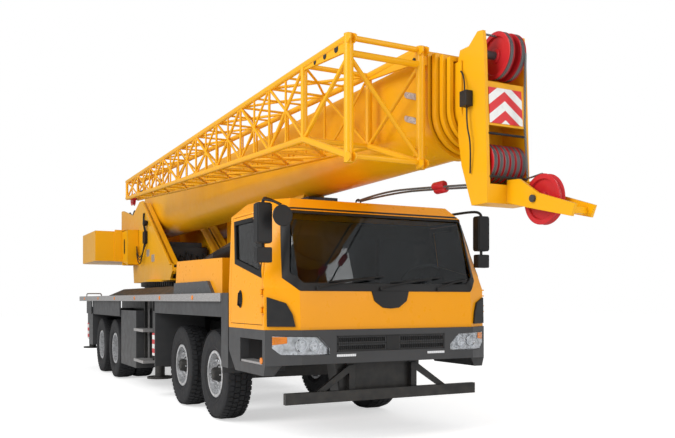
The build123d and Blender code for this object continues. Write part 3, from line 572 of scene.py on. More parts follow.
# A plinth slopes up to the pedestal: its back, front, half width and height at foot and top.
PLINTH = ((-5.4, 0.468, 1.18, DECK_TOP), (-4.5, 0.468, 0.88, 1.7))
form = bmesh.new()
rows = [[form.verts.new(v) for v in ((x0, -half, z), (x1, -half, z), (x1, half, z), (x0, half, z))]
        for x0, x1, half, z in PLINTH]
for skin in rows:
    form.faces.new(skin)
joined(form, rows)
piece(form, "pedestal_plinth", "carrier", black_plastic, soften=0.004)

# Flat steel panels close the gap under the rails ahead of the rear jacks, and a folded guard
# hangs under the engine's sump.
GUARD_X = (-6.12, -5.562)
GUARD_Z = (1.19, 1.458)
SUMP_GUARD = [(-0.55, 0.84), (-0.5, 0.5), (-0.42, 0.45), (0.32, 0.45), (0.4, 0.5), (0.45, 0.84)]
form = bmesh.new()
for side in SIDES.values():
    block(form, GUARD_X, (side * 1.32, side * 1.345), GUARD_Z)
piece(form, "rear_guard_panels", "carrier", dark_grey, soften=0.004)
form = bmesh.new()
plate(form, SUMP_GUARD, "X", 4.02, 4.24)
piece(form, "front_sump_guard", "carrier", chassis_black, soften=0.012)

# The side steps' square posts and their treads, then the thin treads below the cab's door.
POST_X = (-1.48, -0.9)
TREAD_Z = (0.5, 1.0)
DOOR_TREAD_Z = (0.846, 0.828)
posts, treads = bmesh.new(), bmesh.new()
for side in SIDES.values():
    for x in POST_X:
        block(posts, (x - 0.006, x + 0.036), (side * 1.135, side * 1.185), (0.48, 1.46))
    for z in TREAD_Z:
        block(treads, (-1.502, -0.858), (side * 1.13, side * 1.352), (z - 0.032, z + 0.013))
    for z in DOOR_TREAD_Z:
        block(treads, (3.594, 4.216), (side * 1.209, side * 1.351), (z - 0.004, z + 0.004))
piece(posts, "step_posts", "carrier", chassis_black, soften=0.004)
piece(treads, "step_treads", "carrier", brushed, soften=0.003)


def tube(form, points, radius, sides=8, bent=True):
    """A round bar or hose through points: a smooth bend between them, or straight runs."""
    line = bpy.data.curves.new("run", "CURVE")
    line.dimensions = "3D"
    line.bevel_depth, line.bevel_resolution = radius, max(0, sides // 4 - 1)
    line.use_fill_caps = True
    smooth = bent and len(points) > 2
    run = line.splines.new("NURBS" if smooth else "POLY")
    run.points.add(len(points) - 1)
    for spot, at in zip(run.points, points):
        spot.co = (*at, 1)
    if smooth:
        run.order_u, run.use_endpoint_u, run.resolution_u = 3, True, 6
    made = bpy.data.objects.new("run", line)
    bpy.context.scene.collection.objects.link(made)
    bpy.context.view_layer.update()
    skin = bpy.data.meshes.new_from_object(made)
    form.from_mesh(skin)
    bpy.data.objects.remove(made)
    bpy.data.meshes.remove(skin)


# The rear grab rails' run over Y and Z.
GRAB_RAIL = ((1.28, DECK_TOP), (1.28, 1.6), (1.26, 1.625), (0.98, 1.625), (0.96, 1.6),
             (0.96, DECK_TOP))
form = bmesh.new()
for side in SIDES.values():
    tube(form, [(-6.5, side * y, z) for y, z in GRAB_RAIL], 0.014, 12, bent=False)
piece(form, "rear_grab_rails", "carrier", brushed, crease=50)

# Amber acrylic lenses, glossy over moulded ribs of 5 mm, drawn wide enough to show.
amber = bare_surface("amber_lens_acrylic", {"Scale": 60.0}, "#F08A1E", (0.0, 1.0, 0.15, 0.3),
                     relief=(0.001, 0.5), bands="Z")
MARKERS = 6
MARKER = ((0, 0), (0.03, 0), (0.028, 0.009), (0, 0.012))
form = bmesh.new()
for side in SIDES.values():
    unit = bmesh.new()
    lathe(unit, [(r, side * d) for r, d in MARKER], (0, 0, 0), 20)
    repeated(form, unit, row, amber, Count=MARKERS, Start=(-6.2, side * RAIL_Y[1], 1.51),
             Step=(1.62, 0, 0))
piece(form, "side_markers", "carrier", amber, crease=40)

# Ribbed black hoses carry air from the engine hood to the back of the driver's cab.
AIR_HOSE = ((0.7, 2.02), (1.2, 2.1), (2.2, 2.16), (3.2, 2.22))
AIR_HOSE_R = 0.07
AIR_HOSE_RIBS = 42
RIB = ((0.066, -0.008), (0.079, -0.006), (0.079, 0.006), (0.066, 0.008), (0.066, -0.008))
form = bmesh.new()
for y, rise in ((-0.78, 0.0), (-0.55, 0.06)):
    tube(form, [(x, y, z + rise) for x, z in AIR_HOSE], AIR_HOSE_R, 16)
    unit = bmesh.new()
    lathe(unit, RIB, (0, 0, 0), 20, "X")
    repeated(form, unit, row, black_plastic, Count=AIR_HOSE_RIBS, Start=(1.15, y, 2.092 + rise),
             Step=(0.049, 0, 0.003))
piece(form, "air_hoses", "carrier", black_plastic, crease=40)

# --------------------------------------------------------------------- driver's cab
# Welded steel panels, primed and sprayed with amber two-pack enamel under a clear coat, lined
# with grey moulded plastic, over a bumper in satin grey.


def lined(tree, place):
    """Where the cab's walls face inwards: behind its front and between its sides."""
    at = node(tree, "ShaderNodeSeparateXYZ", (place,)).outputs
    away = node(tree, "ShaderNodeMath", (at["Y"],), operation="ABSOLUTE")
    # Front, half width and the corner facets, as they lean back with height.
    front, half, facet = (node(tree, "ShaderNodeMapRange", (at["Z"], 1.6, 2.4, low, high))
                          for low, high in ((4.41, 4.18), (1.33, 1.3), (4.24, 3.85)))
    tests = [node(tree, "ShaderNodeMath", pair, operation="LESS_THAN")
             for pair in ((at["X"], front), (away, half), (at["Z"], 2.41))]
    tests.append(node(tree, "ShaderNodeMath", (at["X"], 3.25), operation="GREATER_THAN"))
    # The corner facets and what lies behind them keep the outer colour.
    corner = [node(tree, "ShaderNodeMath", pair, operation="LESS_THAN")
              for pair in ((away, 1.03), (at["X"], facet))]
    tests.append(node(tree, "ShaderNodeMath", corner, operation="MAXIMUM"))
    result = tests[0]
    for test in tests[1:]:
        result = node(tree, "ShaderNodeMath", (result, test), operation="MULTIPLY")
    return result


# Amber enamel under a clear coat, clean and glossy; the lining's grey lies on its inner faces.
cab_yellow = enamel("amber_cab_enamel", "#FFA800", "#F9A506", "#FFC768", 0.3, 0.12, 0.02,
                    ("#4A4B4E", lined))
finish(cab_yellow, "cab_shell")
# Tinted safety glass: clear grey, mirror smooth, with a breath of dust in 200 mm clouds.
glass = bare_surface("tinted_safety_glass", {"Scale": 5.0, "Detail": 5.0}, "#A6ACB0",
                     (0.4, 0.8, 0.0, 0.06), Transmission_Weight=1.0, IOR=1.45)
finish(glass, "windscreen")
# Grained polypropylene, matt grey.
cabin_grey = enamel("grained_cabin_plastic", "#3C3D40", "#46474A", "#55565A", 0.6, 0.0, 0.05)
finish(cabin_grey, "cab_interior")
finish(dark_grey, "front_bumper")

# -------------------------------------------------------------------- doors and panes
# Pressed steel doors in the cab's enamel, each with tinted safety glass in a black rubber
# seal. A door's outline and pane come from its own shell, parted into metal and glass.

# EPDM seal rubber, matt black.
seal_rubber = enamel("black_window_rubber", "#151617", "#1C1D1E", "#2C2C2C", 0.6, 0.0, 0.1)


def between(x, y, z):
    """Tells whether a face's middle lies within three pairs of limits."""
    return lambda at: all(low < v < high for v, (low, high) in zip(at, (x, y, z)))


def inside(points, along, low, high, shrink=0.012):
    """Tells whether a face's middle lies within an outline of (X, Z) points, drawn in by
    shrink, and between low and high along Y from the middle plane on the side along."""
    middle = [sum(v) / len(points) for v in zip(*points)]
    shape = [[m + (p - m) * (1 - shrink) for p, m in zip(point, middle)] for point in points]

    def test(at):
        crossings = 0
        for (x0, z0), (x1, z1) in zip(shape, shape[1:] + shape[:1]):
            if (z0 > at.z) != (z1 > at.z) and at.x < x0 + (at.z - z0) / (z1 - z0) * (x1 - x0):
                crossings += 1
        return low < along * at.y < high and crossings % 2 == 1

    return test


def glazed(node_name, body, paint, panes):
    """Parts a CAD node's own form into painted metal and the panes that its tests pick out."""
    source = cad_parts[node_name]
    for kind, material in (("metal", paint), ("glass", glass)):
        form = bmesh.new()
        form.from_mesh(source.data)
        bmesh.ops.transform(form, matrix=source.matrix_world, verts=form.verts)
        bmesh.ops.remove_doubles(form, verts=form.verts, dist=1e-5)
        gone = [f for f in form.faces
                if any(test(f.calc_center_median()) for test in panes) == (kind == "metal")]
        bmesh.ops.delete(form, geom=gone, context="FACES")
        loose = [v for v in form.verts if not v.link_faces]
        bmesh.ops.delete(form, geom=loose, context="VERTS")
        piece(form, f"{node_name}_{kind}", body, material, [node_name])


DOOR_WINDOW = [(3.355, 2.32), (3.425, 1.9), (4.17, 1.735), (3.965, 2.32)]
DOOR_PANE_Y = (1.2, 1.352)
for side_name, side in SIDES.items():
    name = f"cab_door_{side_name}"
    glazed(name, name, cab_yellow, [inside(DOOR_WINDOW, side, *DOOR_PANE_Y)])

# ------------------------------------------------------------------ driver's cab trim
# Black mouldings clipped to the cab: the screen's printed border, the cowl shield, the corner
# air deflectors, window seals, handles and three wipers with steel arms and rubber blades.
CAB_LEVELS = [
    # height, half width, the corner facet's X and Y, front
    (1.18, 1.36, 4.27, 1.05, 4.46),
    (1.6, 1.36, 4.26, 1.05, 4.44),
    (2.4, 1.33, 3.87, 1.07, 4.21),
    (2.54, 1.18, 3.8, 0.98, 4.06),
]


def cab_sizes(z):
    """The cab's half width, facet X, facet Y and front at a height."""
    for low, high in zip(CAB_LEVELS, CAB_LEVELS[1:]):
        if z <= high[0]:
            break
    share = (z - low[0]) / (high[0] - low[0])
    return [a + (b - a) * share for a, b in zip(low[1:], high[1:])]


def cab_front(y, z, out):
    """A spot on the cab's front or corner facet, out proud of it."""
    half, facet_x, facet_y, front = cab_sizes(z)
    beyond = max(0.0, abs(y) - facet_y) / (half - facet_y)
    across = math.copysign(out * 0.5, y) * (beyond > 0)
    return (front + (facet_x - front) * beyond + out, y + across, z)


def cab_side(side):
    """Spots on the cab's side, or its facet, from X and height."""

    def at(x, z, out):
        half, facet_x, facet_y, front = cab_sizes(z)
        beyond = max(0.0, x - facet_x) / (front - facet_x)
        return (x, side * (half + (facet_y - half) * beyond + out), z)

    return at


def laid(form, rows, low, high, at, loop=False):
    """A skin over rows of spots on a surface, from low to high outside it. With loop each row
    closes on itself."""
    below, above = ([[form.verts.new(at(*spot, out)) for spot in (row + row[:1] if loop else row)]
                     for row in rows] for out in (low, high))
    for skin in (below, above):
        for pair in zip(skin, skin[1:]):
            joined(form, pair, False)
    for i in (0, -1):
        joined(form, (below[i], above[i]), False)
    if not loop:
        for j in (0, -1):
            joined(form, ([r[j] for r in below], [r[j] for r in above]), False)


def dense(points, parts=8):
    """A closed outline with more spots along its straight sides."""
    ends = zip(points, points[1:] + points[:1])
    return [tuple(p + (q - p) * i / parts for p, q in zip(a, b)) for a, b in ends
            for i in range(parts)]


def outline_of(half):
    """A closed outline from the points of its left half, mirrored in the middle plane."""
    return half + [(-y, z) for y, z in half[::-1]]


# The screen's border, the shield below it and a corner deflector, as rows over Y and Z.
BORDER_OUT = [(-1.0, 2.435), (-1.12, 2.425), (-1.185, 1.7), (-1.045, 1.57), (-0.5, 1.57)]
BORDER_IN = [(-1.0, 2.37), (-1.055, 2.365), (-1.115, 1.755), (-1.0, 1.655), (-0.5, 1.655)]
SHIELD = [[(-0.23, 1.575), (0, 1.575), (0.23, 1.575)], [(-0.2, 1.47), (0, 1.47), (0.2, 1.47)],
          [(-0.1, 1.4), (0, 1.39), (0.1, 1.4)]]
DEFLECTOR = [[(1.09, 1.215), (1.335, 1.215)], [(1.115, 1.34), (1.335, 1.36)],
             [(1.17, 1.45), (1.335, 1.51)]]
form = bmesh.new()
laid(form, [dense(outline_of(half)) for half in (BORDER_OUT, BORDER_IN)], -0.014, 0.008,
     cab_front, loop=True)
laid(form, SHIELD, -0.002, 0.012, cab_front)
for side in SIDES.values():
    laid(form, [[(side * y, z) for y, z in edge] for edge in DEFLECTOR], -0.002, 0.022, cab_front)
piece(form, "cab_front_mouldings", "carrier", black_plastic, soften=0.004)

# Each wiper: a spindle, an arm that bows out, and a blade along the screen's foot.
WIPERS = ((-0.86, -0.2), (-0.12, 0.52), (0.6, 1.0))
form = bmesh.new()
for foot, tip in WIPERS:
    tube(form, [cab_front(foot, 1.6, 0.008), cab_front(foot, 1.6, 0.035)], 0.02, 12)
    knee = cab_front(foot + (tip - foot) * 0.45, 1.68, 0.045)
    tube(form, [cab_front(foot, 1.6, 0.03), knee, cab_front(tip, 1.7, 0.03)], 0.009)
    near = foot + (tip - foot) * 0.2
    tube(form, [cab_front(near, 1.665, 0.012), cab_front(tip + 0.14, 1.725, 0.012)], 0.009)
piece(form, "wipers", "carrier", black_plastic, crease=50)

# Rings of rubber round the doors' panes, and an oval handle dish with its bar, over X and Z.
SEAL_OUT = [(3.335, 2.34), (3.405, 1.875), (4.2, 1.7), (3.985, 2.34)]
SEAL_IN = [(3.385, 2.295), (3.45, 1.925), (4.13, 1.775), (3.945, 2.295)]
for side_name, side in SIDES.items():
    form = bmesh.new()
    laid(form, [dense(SEAL_OUT), dense(SEAL_IN)], -0.012, 0.006, cab_side(side), loop=True)
    dish = [(3.6 + 0.06 * math.cos(a / 12 * math.pi), 1.49 + 0.095 * math.sin(a / 12 * math.pi))
            for a in range(24)]
    plate(form, dish, "Y", side * 1.35, side * 1.366)
    tube(form, [(3.58, side * 1.362, 1.42), (3.59, side * 1.385, 1.43), (3.61, side * 1.385, 1.55),
                (3.62, side * 1.362, 1.56)], 0.012, bent=False)
    piece(form, f"door_seal_and_handle_{side_name}", f"cab_door_{side_name}", seal_rubber)

# ---------------------------------------------------------------------- mirrors
# Moulded black mirror heads on steel tube arms: a tall and a wide-angle mirror a side, and a
# round one at the right front corner that looks down past the bumper.

# A head's outline as shares of its width and height, and its widths and heights.
HEAD = ((0.02, 0), (0.98, 0), (1, 0.06), (1, 0.94), (0.98, 1), (0.02, 1), (0, 0.94), (0, 0.06))
HEADS = (((4.25, 4.37), (2.04, 2.44)), ((4.27, 4.36), (1.85, 2.0)))
HEAD_Y = (1.31, 1.47)
form, glasses = bmesh.new(), bmesh.new()
for side, inboard in ((-1, 0.0), (1, 0.085)):
    near, far = (y - inboard for y in HEAD_Y)
    for x, (low, high) in HEADS:
        unit = bmesh.new()
        spots = [(side * (near + (far - near) * a), low + (high - low) * b) for a, b in HEAD]
        plate(unit, spots, "X", *x)
        bmesh.ops.recalc_face_normals(unit, faces=unit.faces)
        bmesh.ops.bevel(unit, geom=unit.edges[:], offset=0.022, segments=3, affect="EDGES",
                        clamp_overlap=True)
        shell = bpy.data.meshes.new("shell")
        unit.to_mesh(shell)
        unit.free()
        form.from_mesh(shell)
        bpy.data.meshes.remove(shell)
        inset = [(side * (near + (far - near) * (0.1 + 0.8 * a)),
                  low + (high - low) * (0.07 + 0.86 * b)) for a, b in HEAD]
        plate(glasses, inset, "X", x[0] - 0.002, x[0] + 0.004)
    stalk = (4.31, side * (1.39 - inboard))
    tube(form, [(*stalk, 1.99), (*stalk, 2.05)], 0.016, 10)
    tube(form, [(*stalk, 2.43), (*stalk, 2.485), (4.22, side * (1.3 - inboard), 2.5),
                (4.02, side * 1.06, 2.47)], 0.016, 10)
tube(form, [(4.31, -1.39, 2.47), (4.44, -1.3, 2.45), (4.5, -1.27, 2.39)], 0.011)
lathe(form, [(0, 4.5), (0.05, 4.498), (0.1, 4.51), (0.106, 4.524), (0.1, 4.534), (0, 4.536)],
      (0, -1.27, 2.3), 32, "X")
piece(form, "mirror_heads_and_arms", "carrier", black_plastic, crease=40,
      stands_for=["mirrors"])
# Silvered float glass, almost a perfect mirror, with a haze of wiped dust.
silvered = bare_surface("silvered_mirror_glass", {"Scale": 12.0, "Detail": 3.0}, "#E4E7E8",
                        (0.4, 0.8, 0.02, 0.1), Metallic=1.0)
piece(glasses, "mirror_glasses", "carrier", silvered)

# --------------------------------------------------------------- headlamps and grille
# Each lamp: a bright tray, chromed bowls with bulbs, an amber corner lens, and a clear
# polycarbonate cover flush with the bumper. A slatted black grille lies between the lamps.

# Vacuum-metallised plastic, bright as chrome, barely hazed.
chrome = bare_surface("vacuum_chromed_reflector", {"Scale": 30.0, "Detail": 3.0}, "#E8EAEC",
                      (0.3, 0.8, 0.05, 0.16), Metallic=1.0)
# Moulded polycarbonate, clear and smooth. A thin cover bends light less than a solid one.
clear = bare_surface("clear_polycarbonate", {"Scale": 20.0, "Detail": 3.0}, "#F4F6F8",
                     (0.4, 0.8, 0.01, 0.06), Transmission_Weight=1.0, IOR=1.2)
# A milky acrylic diffuser with soft cells 26 mm wide.
led_white = bare_surface("white_lamp_diffuser", {"Scale": 12.0}, ("#F4F5F6", "#D4D8DC"),
                         (0.0, 1.0, 0.2, 0.3), bands="Y")


def bumper_front(y, z, out):
    """A spot on the bumper's front or corner facet, out proud of it."""
    beyond = max(0.0, abs(y) - 1.05) / 0.31
    across = math.copysign(out * 0.84, y) * (beyond > 0)
    return (4.49 - 0.2 * beyond + out * (1 - 0.45 * (beyond > 0)), y + across, z)


# The lower and upper edge of a lamp, its bowls as Y, Z and radius, and the round indicator.
LAMP_LOW = ((0.745, 0.935), (0.9, 0.935), (1.05, 0.935), (1.22, 0.935), (1.295, 1.0))
LAMP_HIGH = ((0.745, 0.998), (0.865, 1.11), (1.05, 1.114), (1.22, 1.118), (1.295, 1.12))
BOWLS = ((0.9, 1.02, 0.046), (1.045, 1.03, 0.056))
INDICATOR = ((0, 1.358), (0.034, 1.358), (0.032, 1.368), (0, 1.371))
trays, bowls, covers, corners = bmesh.new(), bmesh.new(), bmesh.new(), bmesh.new()
for side in SIDES.values():
    rows = [[(side * y, z) for y, z in edge] for edge in (LAMP_LOW, LAMP_HIGH)]
    laid(trays, rows, -0.05, -0.04, bumper_front)
    laid(covers, rows, -0.012, 0.002, bumper_front)
    for y, z, radius in BOWLS:
        x = bumper_front(y, z, 0)[0] - 0.02
        bowl = [(radius + 0.008, 0), (radius, 0.0), (radius * 0.92, -0.02), (radius * 0.6, -0.05),
                (radius * 0.25, -0.062), (0, -0.064), (0, -0.07), (radius * 0.7, -0.06),
                (radius + 0.008, -0.012), (radius + 0.008, 0)]
        bulb = [(0, -0.062), (0.014, -0.06), (0.016, -0.03), (0, -0.024)]
        for outline, steps in ((bowl, 32), (bulb, 12)):
            lathe(bowls, outline, (x, side * y, z), steps, "X")
    laid(corners, [[(side * 1.16, 1.05), (side * 1.29, 1.03)],
                   [(side * 1.16, 1.112), (side * 1.29, 1.114)]], -0.04, -0.016, bumper_front)
    lathe(corners, [(r, side * y) for r, y in INDICATOR], (4.2, 0, 0.87), 24)
for form, name, material in ((trays, "trays", alloy), (bowls, "reflectors", chrome),
                             (corners, "corner_lenses", amber), (covers, "covers", clear)):
    piece(form, f"headlamp_{name}", "carrier", material, stands_for=["headlamps"])

# The grille's frame, a bar across its middle, a plain square on that, and upright slats.
GRILLE_X = (4.47, 4.4925)
GRILLE_Y = (-0.66, 0.66)
GRILLE_Z = (0.955, 1.118)
SLATS = 55
form = bmesh.new()
for z in ((GRILLE_Z[0], 0.968), (1.105, GRILLE_Z[1]), (1.03, 1.04)):
    block(form, GRILLE_X, GRILLE_Y, z)
for y in (-0.66, 0.65):
    block(form, GRILLE_X, (y, y + 0.012), GRILLE_Z)
block(form, (4.485, 4.499), (-0.075, 0.075), (0.965, 1.11))
unit = bmesh.new()
block(unit, (-0.008, 0.004), (-0.004, 0.004), (-0.07, 0.07))
repeated(form, unit, row, black_plastic, Count=SLATS, Start=(4.49, -0.64, 1.036),
         Step=(0, 0.0237, 0))
piece(form, "grille", "carrier", black_plastic)

form = bmesh.new()
for side in SIDES.values():
    block(form, (4.48, 4.4955), (side * 0.44, side * 0.66), (0.905, 0.93))
piece(form, "daytime_lamps", "carrier", led_white, soften=0.003)

# --------------------------------------------------------------------- engine hood
# A folded sheet steel hood behind the cab, sprayed with the cab's amber enamel, with a satin
# grey panel bolted along the foot of each side.


def outboard(tree, place):
    """Where the hood's grey lower panel stands out past its yellow sides."""
    across = node(tree, "ShaderNodeSeparateXYZ", (place,)).outputs["Y"]
    away = node(tree, "ShaderNodeMath", (across,), operation="ABSOLUTE")
    return node(tree, "ShaderNodeMath", (away, 1.2005), operation="GREATER_THAN")


hood_yellow = enamel("amber_hood_enamel", "#FFA800", "#F7A40A", "#FFC768", 0.3, 0.12, 0.03,
                     ("#47484A", outboard))
finish(hood_yellow, "engine_hood")

# ---------------------------------------------------------------------- turntable
# A welded steel frame on a slewing ring with cut outer teeth. Edge flanges, folded bracket
# boxes, blank plates, a round lamp, a valve chest and rubber hoses are fixed to its cheeks. The chest
# and its hoses are black as painted shade for the deep shadow between the cheeks.

# The crane's own yellow: cleaner than the cab's, half gloss, paler at rubbed edges.
crane_yellow = enamel("yellow_crane_enamel", "#F9B404", "#F2AE0C", "#FFD46A", 0.34, 0.1, 0.04)
finish(crane_yellow, "turret_frame", "counterweight")
# Machined gear steel under black grease, wet and dusty.
grease = enamel("greased_gear_steel", "#1A1917", "#26231F", "#6B675F", 0.3, 0.3, 0.1)
RING_TEETH = 110
RING_R = 0.745
form, unit = bmesh.new(), bmesh.new()
plate(unit, [(-0.004, -0.019), (0.024, -0.009), (0.024, 0.009), (-0.004, 0.019)], "Z", -0.04, 0.04)
repeated(form, unit, ring, grease, Count=RING_TEETH, Radius=RING_R, Centre=(-3.4, 0, 1.777),
         Turn=(0, 0, 0))
piece(form, "slewing_ring_teeth", "carrier", grease)

# The cheeks' outer faces, and the bracket boxes that stand out from them.
CHEEK_Y = 0.52
BOX_X = (-5.28, -4.75)
BOX_OUT = 0.75
BOX_TOP = 2.95
FLANGE = [(-4.3, 3.47), (-2.2, 2.13), (-2.214, 2.109), (-4.314, 3.449)]
form = bmesh.new()
for side in SIDES.values():
    plate(form, FLANGE, "Y", side * 0.38, side * 0.56)
    plate(form, [(BOX_X[0], 2.3), (BOX_X[1], 2.2), (BOX_X[1], BOX_TOP), (BOX_X[0], BOX_TOP)], "Y",
          side * 0.73, side * BOX_OUT)
    depth = (side * CHEEK_Y, side * BOX_OUT)
    for x in (-4.77, -5.29):
        block(form, (x, x + 0.02), depth, (2.22, BOX_TOP))
    block(form, BOX_X, depth, (2.93, BOX_TOP))
piece(form, "turret_flanges_and_boxes", "superstructure", crane_yellow, soften=0.006)

# A round lamp, a junction box with three hoses down to the bracket box and three up, and a black
# plate in the bracket box's rounded slot, painted shade for the slot's dark inside.
LAMP = ((0, 0.53), (0.05, 0.53), (0.062, 0.6), (0.055, 0.61), (0, 0.61))
form = bmesh.new()
for side in SIDES.values():
    slot_shade_plate = [(-5.06 + 0.05 * math.cos(t), z + 0.05 * math.sin(t))
            for z, start in ((2.5, math.pi), (2.72, 0.0))
            for t in (start + math.pi * i / 10 for i in range(11))]
    # The slot's thin black plate is painted shade, not an opening.
    plate(form, slot_shade_plate, "Y", side * (BOX_OUT - 0.002), side * (BOX_OUT + 0.002))
    block(form, (-4.16, -3.98), (side * CHEEK_Y, side * 0.58), (2.62, 2.86))
    for drop in (0.0, 0.06, 0.13):
        tube(form, [(-4.02 - drop, side * 0.55, 2.62), (-4.05 - drop, side * 0.59, 2.45 - drop),
                    (-4.3, side * 0.6, 2.32 - drop), (-4.6, side * 0.59, 2.45 - drop),
                    (-4.76, side * 0.56, 2.6 - drop)], 0.01, 10)
        tube(form, [(-4.12 + drop, side * 0.55, 2.86), (-4.2, side * 0.57, 3.05),
                    (-4.34 + drop, side * 0.52, 3.25)], 0.01, 10)
    lathe(form, [(r, side * y) for r, y in LAMP], (-3.98, 0, 3.02), 24)
piece(form, "turret_hoses_and_lamp", "superstructure", seal_rubber, crease=45)

BLANK_PLATES = ((-3.55, 2.3), (-3.95, 2.42))
form = bmesh.new()
for side in SIDES.values():
    for x, z in BLANK_PLATES:
        block(form, (x - 0.11, x + 0.11), (side * (CHEEK_Y - 0.001), side * (CHEEK_Y + 0.004)),
              (z - 0.07, z + 0.07))
piece(form, "turret_blank_plates", "superstructure", brushed, soften=0.001)

# The valve chest between the cheeks, its lid, and the hoses that run down ahead of it, all black:
# partly a real chest and hoses, and partly painted shade for the deep shadow between the cheeks.
CHEST_HOSES = 7
form = bmesh.new()
block(form, (-3.9, -3.05), (-0.42, 0.42), (1.875, 2.5))
block(form, (-3.8, -3.15), (-0.34, 0.34), (2.5, 2.6))
for i in range(CHEST_HOSES):
    y = -0.33 + 0.11 * i
    tube(form, [(-3.05, y, 2.4 - 0.03 * (i % 3)), (-2.85, y * 1.1, 2.3), (-2.78, y * 1.2, 2.05),
                (-2.8, y, 1.88)], 0.018, 10)
piece(form, "valve_chest_and_hoses_painted_shade", "superstructure", black_plastic, soften=0.004,
      crease=40)

# ------------------------------------------------------------------ operator's cab
# The crane operator's cab of pressed steel panels in the crane's yellow, with a sliding door,
# tinted glass in its side, front and door, and black plates on its inner side that are painted shade
# where it lies in deep shadow.
SIDE_WINDOW = [(-3.48, 2.45), (-2.3, 2.45), (-2.3, 3.28), (-3.48, 3.28)]
FRONT_WINDOW = between((-2.16, -1.885), (0.61, 1.31), (2.36, 3.3))
SLIDING_WINDOW = [(-3.32, 2.25), (-2.36, 2.25), (-2.36, 3.27), (-3.32, 3.27)]
glazed("operator_cab", "superstructure", crane_yellow,
       [inside(SIDE_WINDOW, 1, 0.57, 0.59), FRONT_WINDOW])
glazed("operator_door", "operator_door", crane_yellow, [inside(SLIDING_WINDOW, 1, 1.37, 1.39)])
# The painted shade plates' X and Z: below, above and behind the side window. They are black to stand
# in for the deep shadow on the cab's inner side and the cheek.
SHADE_PLATES = (((-3.6, -1.98), (1.92, 2.44)), ((-3.6, -2.2), (3.29, 3.39)), ((-3.6, -3.49), (2.44, 3.29)))
SHADE_PLATES_Y = (0.548, 0.558)
form = bmesh.new()
for x, z in SHADE_PLATES:
    block(form, x, SHADE_PLATES_Y, z)
# These black plates are painted shade for the deep shadow there.
piece(form, "operator_cab_painted_shade_plates", "superstructure", black_plastic, soften=0.003)

# ------------------------------------------------------------------------- winches
# Flanged cast iron drums that turn between the cheeks, each full of steel wire rope laid
# turn beside turn.

# Drawn steel wire, stranded and dressed with dark grease, its lay drawn at 12 mm.
wire_rope = bare_surface(
    "greased_wire_rope", {"Scale": 26.0, "Distortion": 1.5}, ("#3B3C3D", "#8B8C8C"),
    (0.0, 1.0, 0.6, 0.4), relief=(0.002, 0.6), bands="DIAGONAL", Metallic=0.5)
WINCH_Z = 3.24
DRUM_R, FLANGE_R, FLANGE_EDGE_R = 0.172, 0.22, 0.225
ROPE_TURNS = 34
ROPE_PITCH = 0.022
ROPE_END = 0.378
STUB = ((0, 0.474), (0.04, 0.474), (0.045, 0.44), (0.07, 0.42), (0.09, 0.4), (0, 0.4))
for name, x in (("main_winch", -5.7), ("aux_winch", -6.18)):
    form = bmesh.new()
    outline = [(0, -ROPE_END)]
    for turn in range(ROPE_TURNS):
        y = -0.374 + turn * ROPE_PITCH
        outline += [(DRUM_R, y), (DRUM_R + 0.01, y + 0.005), (DRUM_R + 0.012, y + 0.011),
                    (DRUM_R + 0.01, y + 0.017)]
    lathe(form, [*outline, (DRUM_R, ROPE_END), (0, ROPE_END)], (x, 0, WINCH_Z), 40)
    piece(form, f"{name}_rope", name, wire_rope, crease=50)
    form = bmesh.new()
    for low, high in ((-0.4, -0.38), (0.38, 0.4)):
        lathe(form, [(0, low), (FLANGE_R, low), (FLANGE_EDGE_R, low + 0.004),
                     (FLANGE_EDGE_R, high - 0.004), (FLANGE_R, high), (0, high)], (x, 0, WINCH_Z))
    for side in SIDES.values():
        lathe(form, [(r, side * y) for r, y in STUB], (x, 0, WINCH_Z), 24)
    piece(form, f"{name}_drum", name, cast_iron, stands_for=[name])

# ------------------------------------------------------------------------- boom
# Five telescoping sections folded and welded from high-strength plate, sprayed in the crane's
# yellow, and the cylinder that lifts them: a black barrel and a polished, chromed rod.
finish(crane_yellow, "luffing_bracket", *[f"boom_section_{n}" for n in range(1, 6)])
finish(chassis_black, "lift_cylinder")
finish(alloy, "lift_rod")

# Zinc-plated oblong guide brackets bolted to the boom's side.
GUIDE_X = 5.4
GUIDE_Z = (3.36, 3.14)
form = bmesh.new()
for z in GUIDE_Z:
    for side in SIDES.values():
        oval = []
        for t in (math.pi * (i + 0.5) / 8 for i in range(16)):
            run = 0.035 * math.cos(t) + math.copysign(0.07, math.cos(t))
            oval.append((GUIDE_X + run, z + 0.03 * math.sin(t) - run * 0.35))
        plate(form, oval, "Y", side * 0.3595, side * 0.3735)
piece(form, "boom_side_brackets", "boom", alloy, soften=0.003)

# ---------------------------------------------------------------------- boom head
# Turned steel sheaves, painted red, on pins between the head's side plates, with the hoist
# ropes over them, a chevron board, guard rods, and a limit switch.

# Red enamel, glossy under its coat, and dark grey enamel on the pins.
sheave_red = enamel("red_sheave_enamel", "#D4242C", "#C01F28", "#E8756C", 0.35, 0.3, 0.1)
sheave_grey = enamel("dark_sheave_enamel", "#3A3B3D", "#47484A", "#8E8E8C", 0.4, 0.05, 0.1)


def grooved(form, x, y, z, radius, width):
    """A sheave: rim with a rope groove, a recessed web and a hub, its axle along Y."""
    half = width / 2
    half_ring = [(0.0, half), (0.055, half), (0.06, half - 0.002), (0.062, half * 0.3),
                 (radius - 0.045, half * 0.3), (radius - 0.04, half - 0.002), (radius - 0.005, half),
                 (radius, half - 0.003), (radius - 0.022, half * 0.25), (radius - 0.024, 0.0)]
    outline = [(r, -w) for r, w in half_ring] + [(r, w) for r, w in half_ring[-2::-1]]
    lathe(form, outline, (x, y, z))


def rope_turn(form, x, y, z, radius, thick):
    """A turn of rope round an axle along Y."""
    turns = [a * math.pi / 4 for a in range(9)]
    lathe(form, [(radius + thick * math.cos(a), thick * math.sin(a)) for a in turns], (x, y, z))


